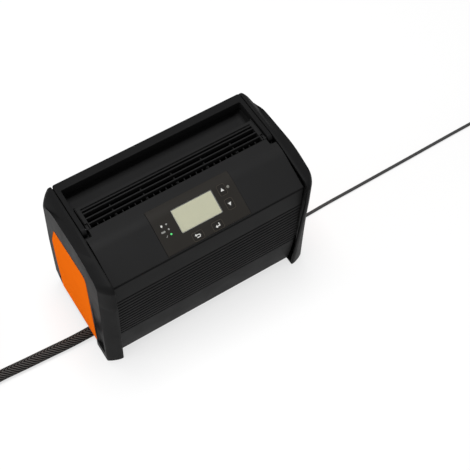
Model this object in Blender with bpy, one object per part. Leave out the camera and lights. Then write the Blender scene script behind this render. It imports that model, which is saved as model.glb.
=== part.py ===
"""Automatic battery charger with a fold-down carry handle, a control panel, a vent and two leads.

The body is a tube of four moulded shells that runs along X between two end caps. The control
panel slopes down to the front, which is -Y, and the top carries the vent grille and the recess
that the handle folds into. All values are in metres, with +Z up. The origin is on the floor,
under the middle of the charger.
"""

import math

import bmesh
import bpy
from mathutils import Matrix, Vector

# Overall size of the charger without its leads
LENGTH = 0.332
DEPTH = 0.174
HEIGHT = 0.239

# Clearances and walls
GAP = 0.0003
SHELL_WALL = 0.003
CAP_WALL = 0.003
CAP_SIDE_WALL = 0.0062

# End caps: how wide they are at the floor, and how far they stand proud of the body
CAP_WIDTH = 0.023
CAP_BAND = 0.0035
CAP_LEAN = 0.0227
CAP_PROUD_FRONT = 0.008
CAP_PROUD_BACK = 0.003
CAP_BODY_SLOT = 0.0013
CAP_SKIRT_Z = 0.004
FOOT_THICKNESS = 0.005
FRONT_FOOT_LENGTH = 0.045
BACK_FOOT_LENGTH = 0.022

# Body section
TOP_DROP = 0.0027
PANEL_DROP = 0.0224
PANEL_ANGLE = math.radians(23)
PANEL_BLEND_RADIUS = 0.044
PANEL_EDGE = 0.0014
SEAM_GAP = 0.0014
BODY_BOTTOM_Z = 0.012
FRONT_LEAN = 0.011
GROOVE_COUNT = 13
GROOVE_PITCH = 0.0078
GROOVE_WIDTH = 0.003
GROOVE_DEPTH = 0.0016
GROOVE_TOP_DROP = 0.0413

# Handle and its recess
HANDLE_BAR_DEPTH = 0.0130
HANDLE_THICKNESS = 0.0135
HANDLE_ARM_WIDTH = 0.0065
HANDLE_SIDE_GAP = 0.001
HANDLE_PIVOT_Y = 0.002
HANDLE_BACK_Y = 0.0797
HANDLE_PIN_RADIUS = 0.002
HANDLE_EDGE_RADIUS = 0.002
HANDLE_SEAT_GAP = 0.0003
RECESS_FRONT_Y = 0.0344
RECESS_DEPTH = 0.0253
RECESS_RADIUS = 0.009
RECESS_WALL = 0.0025
RECESS_ARM_CLEARANCE = 0.002
NOTCH_LENGTH = 0.0075
LUG_RADIUS = 0.005
LUG_WIDTH = 0.003

# Vent grille
GRILLE_FRONT_Y = -0.0015
GRILLE_RAIL = 0.0028
GRILLE_HEIGHT = 0.0072
SLAT_WIDTH = 0.0018
SLAT_PITCH = 0.008
FIRST_SLAT_Y = 0.0063
LAST_SLAT_Y = 0.0272
RIB_PITCH = 0.0453
RIB_WIDTH = 0.0016
RIB_HEIGHT = 0.005
RIB_COUNT = 5
TEETH_PER_RIB = 5
TOOTH_WIDTH = 0.001
TOOTH_LENGTH = 0.0036

# Control panel, measured up the slope from its lower edge
OVERLAY_WIDTH = 0.1228
OVERLAY_LOW = 0.0018
OVERLAY_HIGH = 0.067
OVERLAY_THICKNESS = 0.0009
OVERLAY_PROUD = 0.0002
OVERLAY_CORNER = 0.003
DISPLAY_WIDTH = 0.0605
DISPLAY_HEIGHT = 0.033
DISPLAY_MIDDLE = 0.0365
DISPLAY_OFFSET = -0.0008
WINDOW_THICKNESS = 0.0015
TALL_KEY_SIZE = (0.0105, 0.0142)
WIDE_KEY_SIZE = (0.0148, 0.0108)
KEY_CORNER = 0.0022
KEY_THICKNESS = 0.0042
KEY_TRAVEL = 0.0005
KEY_PLACES = {
    "key_up": (0.0424, 0.046, TALL_KEY_SIZE),
    "key_down": (0.0428, 0.0255, TALL_KEY_SIZE),
    "key_back": (-0.0145, 0.0082, WIDE_KEY_SIZE),
    "key_enter": (0.0147, 0.0082, WIDE_KEY_SIZE),
}
INDICATOR_RADIUS = 0.0013
MODE_INDICATOR_RADIUS = 0.002
INDICATOR_PLACES = {
    "indicator_power": (-0.044, 0.040, INDICATOR_RADIUS),
    "indicator_charging": (-0.044, 0.033, INDICATOR_RADIUS),
    "indicator_ready": (-0.044, 0.026, INDICATOR_RADIUS),
    "indicator_mode": (0.0515, 0.0462, MODE_INDICATOR_RADIUS),
}
BOARD_THICKNESS = 0.0016
DISPLAY_BOARD_DEPTH = 0.0105
DISPLAY_BOARD_WIDTH = 0.118
SWITCH_SIZE = 0.006

# Side plates
PLATE_THICKNESS = 0.003
PLATE_EDGE_GAP = 0.0004
PLATE_PROUD = 0.0006
SCOOP_DEPTH = 0.0042

# Leads: the big one goes to the battery on the left, the thin one to the mains on the right
BATTERY_CABLE_DIAMETER = 0.0155
MAINS_CORD_DIAMETER = 0.005
LEAD_Y = -0.020
BATTERY_LEAD_Z = 0.0094
MAINS_LEAD_Z = 0.008
BATTERY_RELIEF_LENGTH = 0.022
MAINS_RELIEF_LENGTH = 0.026
OUTLET_WIDTH = 0.021
OUTLET_HEIGHT = 0.0176
BATTERY_COIL_DIAMETER = 0.186
MAINS_COIL_DIAMETER = 0.060
MAINS_PLUG_BEND = 0.014

# Inside
BASE_THICKNESS = 0.003
FRAME_THICKNESS = 0.003
FAN_SIZE = 0.080
FAN_DEPTH = 0.025
FAN_BORE_RADIUS = 0.038
FAN_HUB_RADIUS = 0.016
FAN_BLADE_RADIUS = 0.0365
FAN_BLADE_COUNT = 7
FAN_X = -0.060
FAN_Z = 0.100
MAIN_BOARD_Z = 0.024
CAP_SCREW_RADIUS = 0.0015
CAP_SCREW_HEAD_RADIUS = 0.0030
CAP_BOSS_RADIUS = 0.0045
CAP_SCREW_PLACES = ((-0.016, HEIGHT - 0.077), (0.046, HEIGHT - 0.081), (0.066, 0.036))
REAR_SCREW_RADIUS = 0.0015
REAR_SCREW_HEAD_RADIUS = 0.0030
REAR_SCREW_LEVELS = (0.030, HEIGHT - 0.049)
BOARD_END_CLEARANCE = 0.0165
COMPONENT_CLEARANCE = 0.007
CAPACITOR_RADIUS = 0.015
CHOKE_RADIUS = 0.020
TRANSFORMER_WIDTH = 0.062
REAR_SLOT_PITCH = 0.0105
REAR_SLOT_START = 0.028
REAR_SLOT_MARGIN = 0.0245

# Places that follow from the values above
FRONT_Y = -DEPTH / 2
BACK_Y = DEPTH / 2
BODY_FRONT_Y = FRONT_Y + CAP_PROUD_FRONT
BODY_BACK_Y = BACK_Y - CAP_PROUD_BACK
TOP_Z = HEIGHT - TOP_DROP
PANEL_LOW_Z = TOP_Z - PANEL_DROP
SEAM_Z = PANEL_LOW_Z - PANEL_EDGE
FRONT_TOP_Z = SEAM_Z - SEAM_GAP
RIM_X = LENGTH / 2 - CAP_WIDTH
BODY_X = RIM_X - CAP_BODY_SLOT
PANEL_RISE = PANEL_DROP - PANEL_BLEND_RADIUS * (1 - math.cos(PANEL_ANGLE))
PANEL_LENGTH = PANEL_RISE / math.sin(PANEL_ANGLE)
ARM_OUTER_X = RIM_X - HANDLE_SIDE_GAP
ARM_INNER_X = ARM_OUTER_X - HANDLE_ARM_WIDTH
ARM_END_RADIUS = HANDLE_THICKNESS / 2
HANDLE_LOW_Z = HEIGHT - HANDLE_THICKNESS
PIVOT_Z = HEIGHT - ARM_END_RADIUS
BAR_FRONT_Y = HANDLE_BACK_Y - HANDLE_BAR_DEPTH
CHANNEL_X = ARM_INNER_X - RECESS_ARM_CLEARANCE
CHANNEL_FLOOR_Z = HANDLE_LOW_Z - HANDLE_SEAT_GAP
CHANNEL_FRONT_Y = HANDLE_PIVOT_Y - ARM_END_RADIUS - NOTCH_LENGTH
RECESS_FLOOR_Z = TOP_Z - RECESS_DEPTH
RECESS_BACK_Y = HANDLE_BACK_Y - 0.0015
GRILLE_X = CHANNEL_X - 0.001
GRILLE_HOLE_X = GRILLE_X - GRILLE_RAIL - GAP
GRILLE_LEDGE_Z = TOP_Z - GRILLE_RAIL
SIDE_EDGE_Y = FRONT_Y + 0.019
FRAME_INNER_X = BODY_X - 0.004
FRAME_OUTER_X = FRAME_INNER_X + FRAME_THICKNESS
OVER = 0.010
FASTENER_SIDES = 8


# Mesh helpers

def material(name, colour, roughness, metallic=0.0, alpha=1.0):
    """A plain Principled material in the piece's colour."""
    made = bpy.data.materials.new(name)
    made.use_nodes = True
    shader = made.node_tree.nodes["Principled BSDF"]
    shader.inputs["Base Color"].default_value = (*colour, 1.0)
    shader.inputs["Roughness"].default_value = roughness
    shader.inputs["Metallic"].default_value = metallic
    shader.inputs["Alpha"].default_value = alpha
    made.diffuse_color = (*colour, alpha)
    return made


def make_object(name, mesh_data, finish=None):
    """Turns a bmesh into a named object with its faces pointing outwards."""
    bmesh.ops.remove_doubles(mesh_data, verts=mesh_data.verts, dist=1e-7)
    bmesh.ops.recalc_face_normals(mesh_data, faces=mesh_data.faces)
    mesh = bpy.data.meshes.new(name)
    mesh_data.to_mesh(mesh)
    mesh_data.free()
    made = bpy.data.objects.new(name, mesh)
    bpy.context.scene.collection.objects.link(made)
    if finish:
        mesh.materials.append(finish)
    return made


def cutter(name, mesh_data):
    """A helper shape that modifiers use and that isn't part of the charger."""
    made = make_object(name, mesh_data)
    made.hide_render = True
    made.display_type = "WIRE"
    return made


def boolean(target, tool, operation, tool_overlaps):
    """Set tool_overlaps where the tool's own parts run through each other."""
    step = target.modifiers.new(f"{operation.lower()}_{tool.name}", "BOOLEAN")
    step.object = tool
    step.operation = operation
    step.solver = "EXACT"
    step.use_self = tool_overlaps


def subtract(target, tool, tool_overlaps=False):
    boolean(target, tool, "DIFFERENCE", tool_overlaps)


def unite(target, tool, tool_overlaps=False):
    boolean(target, tool, "UNION", tool_overlaps)


def soften(target, width, segments=1, angle=35):
    """Rounds the edges sharper than an angle."""
    step = target.modifiers.new("edge_radius", "BEVEL")
    step.width = width
    step.segments = segments
    step.limit_method = "ANGLE"
    step.angle_limit = math.radians(angle)
    step.use_clamp_overlap = True


def smooth(target, angle=40):
    target.data.shade_smooth()
    target.data.set_sharp_from_angle(angle=math.radians(angle))


def turn_about(target, point):
    """Moves the object's origin to a point without moving its shape."""
    target.data.transform(Matrix.Translation(-Vector(point)))
    target.location = point


def add_ring(mesh_data, points):
    return [mesh_data.verts.new(point) for point in points]


def bridge(mesh_data, first, second):
    count = len(first)
    for i in range(count):
        j = (i + 1) % count
        mesh_data.faces.new((first[i], first[j], second[j], second[i]))


def add_loft(mesh_data, rings):
    """Joins rings of equal count in order and closes both ends."""
    made = [add_ring(mesh_data, ring) for ring in rings]
    for first, second in zip(made, made[1:]):
        bridge(mesh_data, first, second)
    mesh_data.faces.new(made[0])
    mesh_data.faces.new(made[-1])


def add_prism(mesh_data, outline, low, high, axis="X"):
    """Extrudes an outline along an axis. Its pairs are the other two axes in X, Y, Z order."""
    def place(pair, depth):
        a, b = pair
        return {"X": (depth, a, b), "Y": (a, depth, b), "Z": (a, b, depth)}[axis]
    add_loft(mesh_data, [[place(p, low) for p in outline], [place(p, high) for p in outline]])


def add_box(mesh_data, low, high):
    outline = ((low[0], low[1]), (high[0], low[1]), (high[0], high[1]), (low[0], high[1]))
    add_prism(mesh_data, outline, low[2], high[2], "Z")


def circle(centre, radius, count, start=0.0):
    return [
        (centre[0] + radius * math.cos(start + 2 * math.pi * i / count),
         centre[1] + radius * math.sin(start + 2 * math.pi * i / count))
        for i in range(count)
    ]


def add_turned(mesh_data, axis_point, direction, profile, count=24):
    """Turns a profile of (distance along, radius) pairs about an axis."""
    turn = Vector((0, 0, 1)).rotation_difference(Vector(direction)).to_matrix().to_4x4()
    place = Matrix.Translation(Vector(axis_point)) @ turn
    rings = []
    for along, radius in profile:
        rings.append([place @ Vector((x, y, along)) for x, y in circle((0, 0), radius, count)])
    add_loft(mesh_data, rings)


def add_cylinder(mesh_data, axis_point, direction, length, radius, count=24):
    add_turned(mesh_data, axis_point, direction, ((0, radius), (length, radius)), count)


def add_stepped_hole(mesh_data, seat, direction, shank_radius, head_radius):
    """The shape to cut away for a screw whose head bears on a seat."""
    add_turned(mesh_data, seat, direction, (
        (-0.03, shank_radius), (0, shank_radius), (0, head_radius), (0.02, head_radius)), FASTENER_SIDES)


def new_mesh(*adders):
    """Builds one bmesh from calls such as (add_box, low, high)."""
    mesh_data = bmesh.new()
    for adder, *values in adders:
        adder(mesh_data, *values)
    return mesh_data


def fillet(corners):
    """Rounds an outline's corners, each given as (a, b, radius, segments)."""
    points = []
    count = len(corners)
    for i, (a, b, radius, segments) in enumerate(corners):
        here = Vector((a, b))
        if radius <= 0:
            points.append((a, b))
            continue
        before = (Vector(corners[i - 1][:2]) - here).normalized()
        after = (Vector(corners[(i + 1) % count][:2]) - here).normalized()
        half = before.angle(after) / 2
        middle = here + (before + after).normalized() * (radius / math.sin(half))
        start = here + before * (radius / math.tan(half)) - middle
        end = here + after * (radius / math.tan(half)) - middle
        sweep = math.atan2(start.x * end.y - start.y * end.x, start.dot(end))
        for k in range(segments + 1):
            turned = start.copy()
            turned.rotate(Matrix.Rotation(sweep * k / segments, 2))
            points.append((middle.x + turned.x, middle.y + turned.y))
    return points


def inset(outline, distance):
    """Moves every side of a closed outline inwards. Negative values grow it."""
    area = sum(a[0] * b[1] - b[0] * a[1] for a, b in zip(outline, outline[1:] + outline[:1]))
    side = 1 if area > 0 else -1
    points = []
    for i, point in enumerate(outline):
        here = Vector(point)
        along = (here - Vector(outline[i - 1])).normalized()
        onward = (Vector(outline[(i + 1) % len(outline)]) - here).normalized()
        first = Vector((-along.y, along.x)) * side
        second = Vector((-onward.y, onward.x)) * side
        middle = (first + second).normalized()
        points.append(tuple(here + middle * (distance / max(middle.dot(first), 0.3))))
    return points


def rounded_rectangle(width, height, radius, segments=3, centre=(0, 0)):
    x, y = width / 2, height / 2
    return fillet([
        (centre[0] + a * x, centre[1] + b * y, radius, segments)
        for a, b in ((-1, -1), (1, -1), (1, 1), (-1, 1))
    ])


def add_basin(mesh_data, low, high, floor_z, top_z, radius):
    """A box with round upright corners and a round edge about its floor, to cut a recess with."""
    centre = ((low[0] + high[0]) / 2, (low[1] + high[1]) / 2)
    width, depth = high[0] - low[0], high[1] - low[1]
    floor_radius = radius * 0.7
    steps = 3
    rings = []
    for k in range(steps + 1):
        angle = math.pi / 2 * k / steps
        narrow = floor_radius * (1 - math.sin(angle))
        z = floor_z + floor_radius * (1 - math.cos(angle))
        outline = rounded_rectangle(width - 2 * narrow, depth - 2 * narrow, radius - narrow, 4, centre)
        rings.append([(x, y, z) for x, y in outline])
    rings.append([(x, y, top_z) for x, y, _ in rings[-1]])
    add_loft(mesh_data, rings)


# Materials

BLACK = material("black_plastic", (0.018, 0.018, 0.019), 0.45)
BLACK_FINE = material("black_grille_plastic", (0.014, 0.014, 0.015), 0.5)
ORANGE = material("orange_plastic", (0.95, 0.16, 0.02), 0.4)
FILM = material("overlay_film", (0.024, 0.023, 0.022), 0.38)
KEYS = material("key_rubber", (0.022, 0.021, 0.020), 0.5)
CLEAR = material("clear_window", (0.85, 0.87, 0.82), 0.1, alpha=0.35)
LCD = material("display_grey", (0.52, 0.52, 0.32), 0.35)
LENS = material("indicator_lens", (0.75, 0.78, 0.75), 0.3)
GREEN_LENS = material("green_indicator_lens", (0.05, 0.75, 0.16), 0.3)
BOARD = material("circuit_board", (0.02, 0.13, 0.05), 0.5)
ALUMINIUM = material("aluminium", (0.72, 0.73, 0.74), 0.35, 1.0)
STEEL = material("screw_steel", (0.55, 0.55, 0.56), 0.3, 1.0)
FERRITE = material("ferrite", (0.05, 0.05, 0.055), 0.6)
TAPE = material("winding_tape", (0.75, 0.6, 0.1), 0.5)
SLEEVE = material("capacitor_sleeve", (0.02, 0.03, 0.09), 0.35)
COPPER = material("copper", (0.8, 0.35, 0.2), 0.35, 1.0)
RUBBER = material("cable_rubber", (0.02, 0.02, 0.02), 0.6)
BRAID = material("braided_sleeve", (0.05, 0.05, 0.05), 0.7)
CORD = material("cord_rubber", (0.09, 0.09, 0.09), 0.55)


# Body section

def front_face_y(z):
    """The front leans back towards the floor, slowly at first."""
    share = max(0.0, (SEAM_Z - z) / (SEAM_Z - BODY_BOTTOM_Z))
    return BODY_FRONT_Y + FRONT_LEAN * share ** 3


def front_line(offset):
    """The inner side of the front's section, from its lower edge up to the seam."""
    steps = 10
    high = FRONT_TOP_Z - 0.006
    levels = [BODY_BOTTOM_Z + (high - BODY_BOTTOM_Z) * k / steps for k in range(steps + 1)]
    return [(front_face_y(z) + offset, z) for z in levels]


def panel_point(along, depth=0.0):
    """A point of the panel's section as (y, z), from its lower edge, up the slope and the blend."""
    if along <= PANEL_LENGTH:
        y = BODY_FRONT_Y + along * math.cos(PANEL_ANGLE)
        z = PANEL_LOW_Z + along * math.sin(PANEL_ANGLE)
        angle = PANEL_ANGLE
    else:
        angle = max(0.0, PANEL_ANGLE - (along - PANEL_LENGTH) / PANEL_BLEND_RADIUS)
        centre_y = BODY_FRONT_Y + PANEL_LENGTH * math.cos(PANEL_ANGLE) \
            + PANEL_BLEND_RADIUS * math.sin(PANEL_ANGLE)
        y = centre_y - PANEL_BLEND_RADIUS * math.sin(angle)
        z = TOP_Z - PANEL_BLEND_RADIUS * (1 - math.cos(angle))
    return (y + depth * math.sin(angle), z - depth * math.cos(angle))


BLEND_STEPS = 6
BLEND_LENGTH = PANEL_BLEND_RADIUS * PANEL_ANGLE


def panel_line(depth, low=0.0, high=None):
    """The panel's section as a line of points between two lengths along it."""
    high = PANEL_LENGTH + BLEND_LENGTH if high is None else high
    steps = [PANEL_LENGTH + BLEND_LENGTH * k / BLEND_STEPS for k in range(BLEND_STEPS + 1)]
    return [panel_point(s, depth) for s in [low, *[s for s in steps if low < s < high], high]]


def inner_panel_start(depth):
    """Where a line under the panel meets the level of the panel's lower edge."""
    back = (depth / math.cos(PANEL_ANGLE) - PANEL_EDGE) / math.tan(PANEL_ANGLE)
    return BODY_FRONT_Y + back


PANEL_FRAME = Matrix((
    (1, 0, 0, 0),
    (0, math.cos(PANEL_ANGLE), -math.sin(PANEL_ANGLE), BODY_FRONT_Y),
    (0, math.sin(PANEL_ANGLE), math.cos(PANEL_ANGLE), PANEL_LOW_Z),
    (0, 0, 0, 1),
))


def on_panel(mesh_data):
    """Places a shape whose X, Y are on the panel and whose Z stands off it."""
    mesh_data.transform(PANEL_FRAME)
    return mesh_data


def body_top_shell():
    """The control panel, the top, and the recess for the handle, as one moulded shell."""
    block_front = RECESS_FRONT_Y - RECESS_WALL
    block_low = RECESS_FLOOR_Z - RECESS_WALL
    inner_top = TOP_Z - SHELL_WALL
    rear_inner = BODY_BACK_Y - SHELL_WALL
    inner_blend_y = panel_line(SHELL_WALL)[-1][0]
    section = [(BODY_FRONT_Y, SEAM_Z), *panel_line(0), (BODY_BACK_Y, TOP_Z),
               (BODY_BACK_Y, RECESS_FLOOR_Z + 0.003), (rear_inner, RECESS_FLOOR_Z + 0.003),
               (rear_inner, block_low), (block_front, block_low), (block_front, inner_top)]
    section += [p for p in reversed(panel_line(SHELL_WALL)) if p[1] > SEAM_Z and p[0] <= inner_blend_y]
    section.append((inner_panel_start(SHELL_WALL), SEAM_Z))
    shell = make_object("top_shell", new_mesh((add_prism, section, -BODY_X, BODY_X)), BLACK)

    block_inner_x = GRILLE_HOLE_X + 0.0005
    blocks = bmesh.new()
    for side in (-1, 1):
        low_x, high_x = sorted((side * block_inner_x, side * BODY_X))
        add_box(blocks, (low_x, CHANNEL_FRONT_Y - 0.0025, CHANNEL_FLOOR_Z - 0.003),
                (high_x, block_front + 0.001, inner_top + 0.001))
    unite(shell, cutter("channel_blocks", blocks))

    recess_x = CHANNEL_X + 0.002
    recess = bmesh.new()
    add_basin(recess, (-recess_x, RECESS_FRONT_Y), (recess_x, RECESS_BACK_Y),
              RECESS_FLOOR_Z, TOP_Z + OVER, RECESS_RADIUS)
    subtract(shell, cutter("finger_recess", recess))

    channels = bmesh.new()
    for side in (-1, 1):
        low_x, high_x = sorted((side * CHANNEL_X, side * (BODY_X + OVER)))
        add_box(channels, (low_x, CHANNEL_FRONT_Y, CHANNEL_FLOOR_Z),
                (high_x, BODY_BACK_Y + OVER, TOP_Z + OVER))
    subtract(shell, cutter("arm_channels", channels))
    subtract(shell, cutter("bar_seat", new_mesh(
        (add_box, (-CHANNEL_X - 0.001, BAR_FRONT_Y - 0.0015, CHANNEL_FLOOR_Z + 0.0001),
         (CHANNEL_X + 0.001, BODY_BACK_Y + OVER, TOP_Z + OVER)))))
    subtract(shell, cutter("grille_seat", new_mesh(
        (add_box, (-GRILLE_X - GAP, GRILLE_FRONT_Y, GRILLE_LEDGE_Z),
         (GRILLE_X + GAP, RECESS_FRONT_Y + 0.0015, TOP_Z + OVER)))))
    subtract(shell, cutter("grille_hole", new_mesh(
        (add_box, (-GRILLE_HOLE_X, GRILLE_FRONT_Y, block_low + 0.015),
         (GRILLE_HOLE_X, block_front - 0.0005, TOP_Z + OVER)))))

    lugs = bmesh.new()
    for side in (-1, 1):
        inner = side * (CHANNEL_X - LUG_WIDTH)
        outer = side * (CHANNEL_X - 0.0002)
        low_x, high_x = sorted((inner, outer))
        lug = [(HANDLE_PIVOT_Y - LUG_RADIUS, CHANNEL_FLOOR_Z - 0.001),
               (HANDLE_PIVOT_Y + LUG_RADIUS, CHANNEL_FLOOR_Z - 0.001)]
        lug += [(HANDLE_PIVOT_Y + LUG_RADIUS * math.cos(math.pi * k / 8),
                 PIVOT_Z + LUG_RADIUS * math.sin(math.pi * k / 8)) for k in range(9)]
        add_prism(lugs, lug, low_x, high_x)
    unite(shell, cutter("pivot_lugs", lugs))
    bores = bmesh.new()
    for side in (-1, 1):
        low_x = side * (CHANNEL_X - LUG_WIDTH - 0.002)
        add_cylinder(bores, (low_x, HANDLE_PIVOT_Y, PIVOT_Z), (side, 0, 0),
                     LUG_WIDTH + 0.004, HANDLE_PIN_RADIUS + GAP, 12)
    subtract(shell, cutter("pivot_bores", bores))

    pocket_floor = -OVERLAY_THICKNESS + OVERLAY_PROUD - GAP
    edge = OVERLAY_WIDTH / 2 + GAP
    pocket = [panel_point(s, -OVER) for s in (OVERLAY_LOW - GAP, OVERLAY_HIGH + GAP)]
    line = panel_line(-pocket_floor, OVERLAY_LOW - GAP, OVERLAY_HIGH + GAP)
    subtract(shell, cutter("overlay_pocket", new_mesh(
        (add_prism, [*line, pocket[1], pocket[0]], -edge, edge))))

    posts = bmesh.new()
    for x in (-DISPLAY_BOARD_WIDTH / 2 + 0.0026, DISPLAY_BOARD_WIDTH / 2 - 0.0026):
        for along in (0.013, PANEL_LENGTH - 0.004):
            add_cylinder(posts, (x, along, -SHELL_WALL + 0.0005), (0, 0, -1),
                         DISPLAY_BOARD_DEPTH - SHELL_WALL - GAP + 0.0005, 0.0025, 12)
    unite(shell, cutter("board_posts", on_panel(posts)))

    openings = bmesh.new()
    add_prism(openings, rounded_rectangle(DISPLAY_WIDTH - 0.001, DISPLAY_HEIGHT - 0.001, 0.001, 2,
                                          (DISPLAY_OFFSET, DISPLAY_MIDDLE)), -0.02, 0.01, "Z")
    for x, along, (width, height) in KEY_PLACES.values():
        outline = rounded_rectangle(width + 2 * GAP, height + 2 * GAP, KEY_CORNER, 2, (x, along))
        add_prism(openings, outline, -0.008, 0.01, "Z")
    for x, along, radius in INDICATOR_PLACES.values():
        add_prism(openings, circle((x, along), radius + GAP, 12), -0.008, 0.01, "Z")
    subtract(shell, cutter("panel_openings", on_panel(openings)))
    return shell


def body_front_panel():
    """The ribbed front: fine grooves run its whole length under a plain band."""
    lip_y = BODY_FRONT_Y + SHELL_WALL / 2
    radius = 0.0028
    corner = [(BODY_FRONT_Y + radius * (1 - math.sin(a)), FRONT_TOP_Z - radius * (1 - math.cos(a)))
              for a in (math.radians(d) for d in (28, 60, 90))]
    outer = [(lip_y, FRONT_TOP_Z), *corner]
    for k in range(GROOVE_COUNT):
        z = SEAM_Z - GROOVE_TOP_DROP - GROOVE_PITCH * k
        half = GROOVE_WIDTH / 2
        outer += [(front_face_y(z + half), z + half),
                  (front_face_y(z) + GROOVE_DEPTH, z + half * 0.3),
                  (front_face_y(z) + GROOVE_DEPTH, z - half * 0.5),
                  (front_face_y(z - half), z - half)]
    last = SEAM_Z - GROOVE_TOP_DROP - GROOVE_PITCH * GROOVE_COUNT
    steps = 5
    outer += [(front_face_y(z), z)
              for z in (last + (BODY_BOTTOM_Z - last) * k / steps for k in range(steps + 1))]
    inner = front_line(SHELL_WALL)
    inner.append((BODY_FRONT_Y + SHELL_WALL, SEAM_Z - GAP))
    inner.append((lip_y, SEAM_Z - GAP))
    return make_object("front_panel", new_mesh((add_prism, outer + inner, -BODY_X, BODY_X)), BLACK)


REAR_TOP_Z = RECESS_FLOOR_Z + 0.003 - GAP
REAR_INNER_Y = BODY_BACK_Y - SHELL_WALL + GAP


def body_rear_cover():
    """The back wall, with the fan's round grille and a row of vent slots."""
    cover = make_object("rear_cover", new_mesh(
        (add_box, (-BODY_X, REAR_INNER_Y, BODY_BOTTOM_Z), (BODY_X, BODY_BACK_Y, REAR_TOP_Z))), BLACK)
    slots = bmesh.new()
    slot_height, pitch, rows = 0.0042, 0.0094, 7
    for k in range(rows):
        z = FAN_Z + (k - (rows - 1) / 2) * pitch
        reach = math.sqrt(max(0.0, (FAN_BORE_RADIUS - 0.002) ** 2 - (z - FAN_Z) ** 2))
        for low, high in ((-reach, -0.0012), (0.0012, reach)):
            add_box(slots, (FAN_X + low, REAR_INNER_Y - OVER, z - slot_height / 2),
                    (FAN_X + high, BODY_BACK_Y + OVER, z + slot_height / 2))
    for k in range(int((FRAME_INNER_X - REAR_SLOT_MARGIN - REAR_SLOT_START) / REAR_SLOT_PITCH) + 1):
        x = REAR_SLOT_START + k * REAR_SLOT_PITCH
        add_box(slots, (x - 0.0017, REAR_INNER_Y - OVER, 0.060),
                (x + 0.0017, BODY_BACK_Y + OVER, 0.140))
    subtract(cover, cutter("rear_slots", slots))
    pegs = bmesh.new()
    for dx in (-1, 1):
        for dz in (-1, 1):
            add_cylinder(pegs, (FAN_X + dx * FAN_HOLE_OFFSET, REAR_INNER_Y + 0.0005,
                                FAN_Z + dz * FAN_HOLE_OFFSET), (0, -1, 0), FAN_DEPTH * 0.6, 0.0017, 8)
    unite(cover, cutter("fan_pegs", pegs))
    holes = bmesh.new()
    for x, z in REAR_SCREW_PLACES:
        add_stepped_hole(holes, (x, BODY_BACK_Y - 0.0012, z), (0, 1, 0),
                         REAR_SCREW_RADIUS + GAP, REAR_SCREW_HEAD_RADIUS + GAP)
    subtract(cover, cutter("rear_screw_holes", holes))
    return cover


FAN_HOLE_OFFSET = 0.0357
REAR_SCREW_X = FRAME_INNER_X - 0.006
REAR_SCREW_PLACES = tuple((x, z) for x in (-REAR_SCREW_X, REAR_SCREW_X) for z in REAR_SCREW_LEVELS)


def body_base_plate():
    """The floor of the housing, with vent slots, notches for the leads and posts for the main board."""
    front_y = front_face_y(BODY_BOTTOM_Z) + SHELL_WALL + GAP
    back_y = REAR_INNER_Y - GAP
    edge_x = FRAME_INNER_X - GAP
    base = make_object("base_plate", new_mesh(
        (add_box, (-edge_x, front_y, BODY_BOTTOM_Z),
         (edge_x, back_y, BODY_BOTTOM_Z + BASE_THICKNESS))), BLACK)
    slots = bmesh.new()
    for row_y in (-0.020, 0.034):
        for k in range(9):
            x = (k - 4) * 0.017
            add_box(slots, (x - 0.002, row_y - 0.015, BODY_BOTTOM_Z - OVER),
                    (x + 0.002, row_y + 0.015, BODY_BOTTOM_Z + OVER))
    for side in (-1, 1):
        x0, x1 = sorted((side * (FRAME_INNER_X - 0.006), side * (FRAME_INNER_X + OVER)))
        add_box(slots, (x0, LEAD_Y - 0.0105, BODY_BOTTOM_Z - OVER), (x1, LEAD_Y + 0.0105, BODY_BOTTOM_Z + OVER))
    subtract(base, cutter("base_slots", slots))
    posts = bmesh.new()
    for x, y in MAIN_BOARD_POSTS:
        low = BODY_BOTTOM_Z + BASE_THICKNESS - 0.0005
        add_cylinder(posts, (x, y, low), (0, 0, 1), MAIN_BOARD_Z - GAP - low, 0.0035, 8)
    unite(base, cutter("base_posts", posts))
    return base


MAIN_BOARD_X = FRAME_INNER_X - BOARD_END_CLEARANCE
MAIN_BOARD_FRONT_Y = -0.058
MAIN_BOARD_BACK_Y = 0.052
MAIN_BOARD_POSTS = tuple(
    (sx * (MAIN_BOARD_X - 0.008), y) for sx in (-1, 1)
    for y in (MAIN_BOARD_FRONT_Y + 0.008, MAIN_BOARD_BACK_Y - 0.008))


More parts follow.
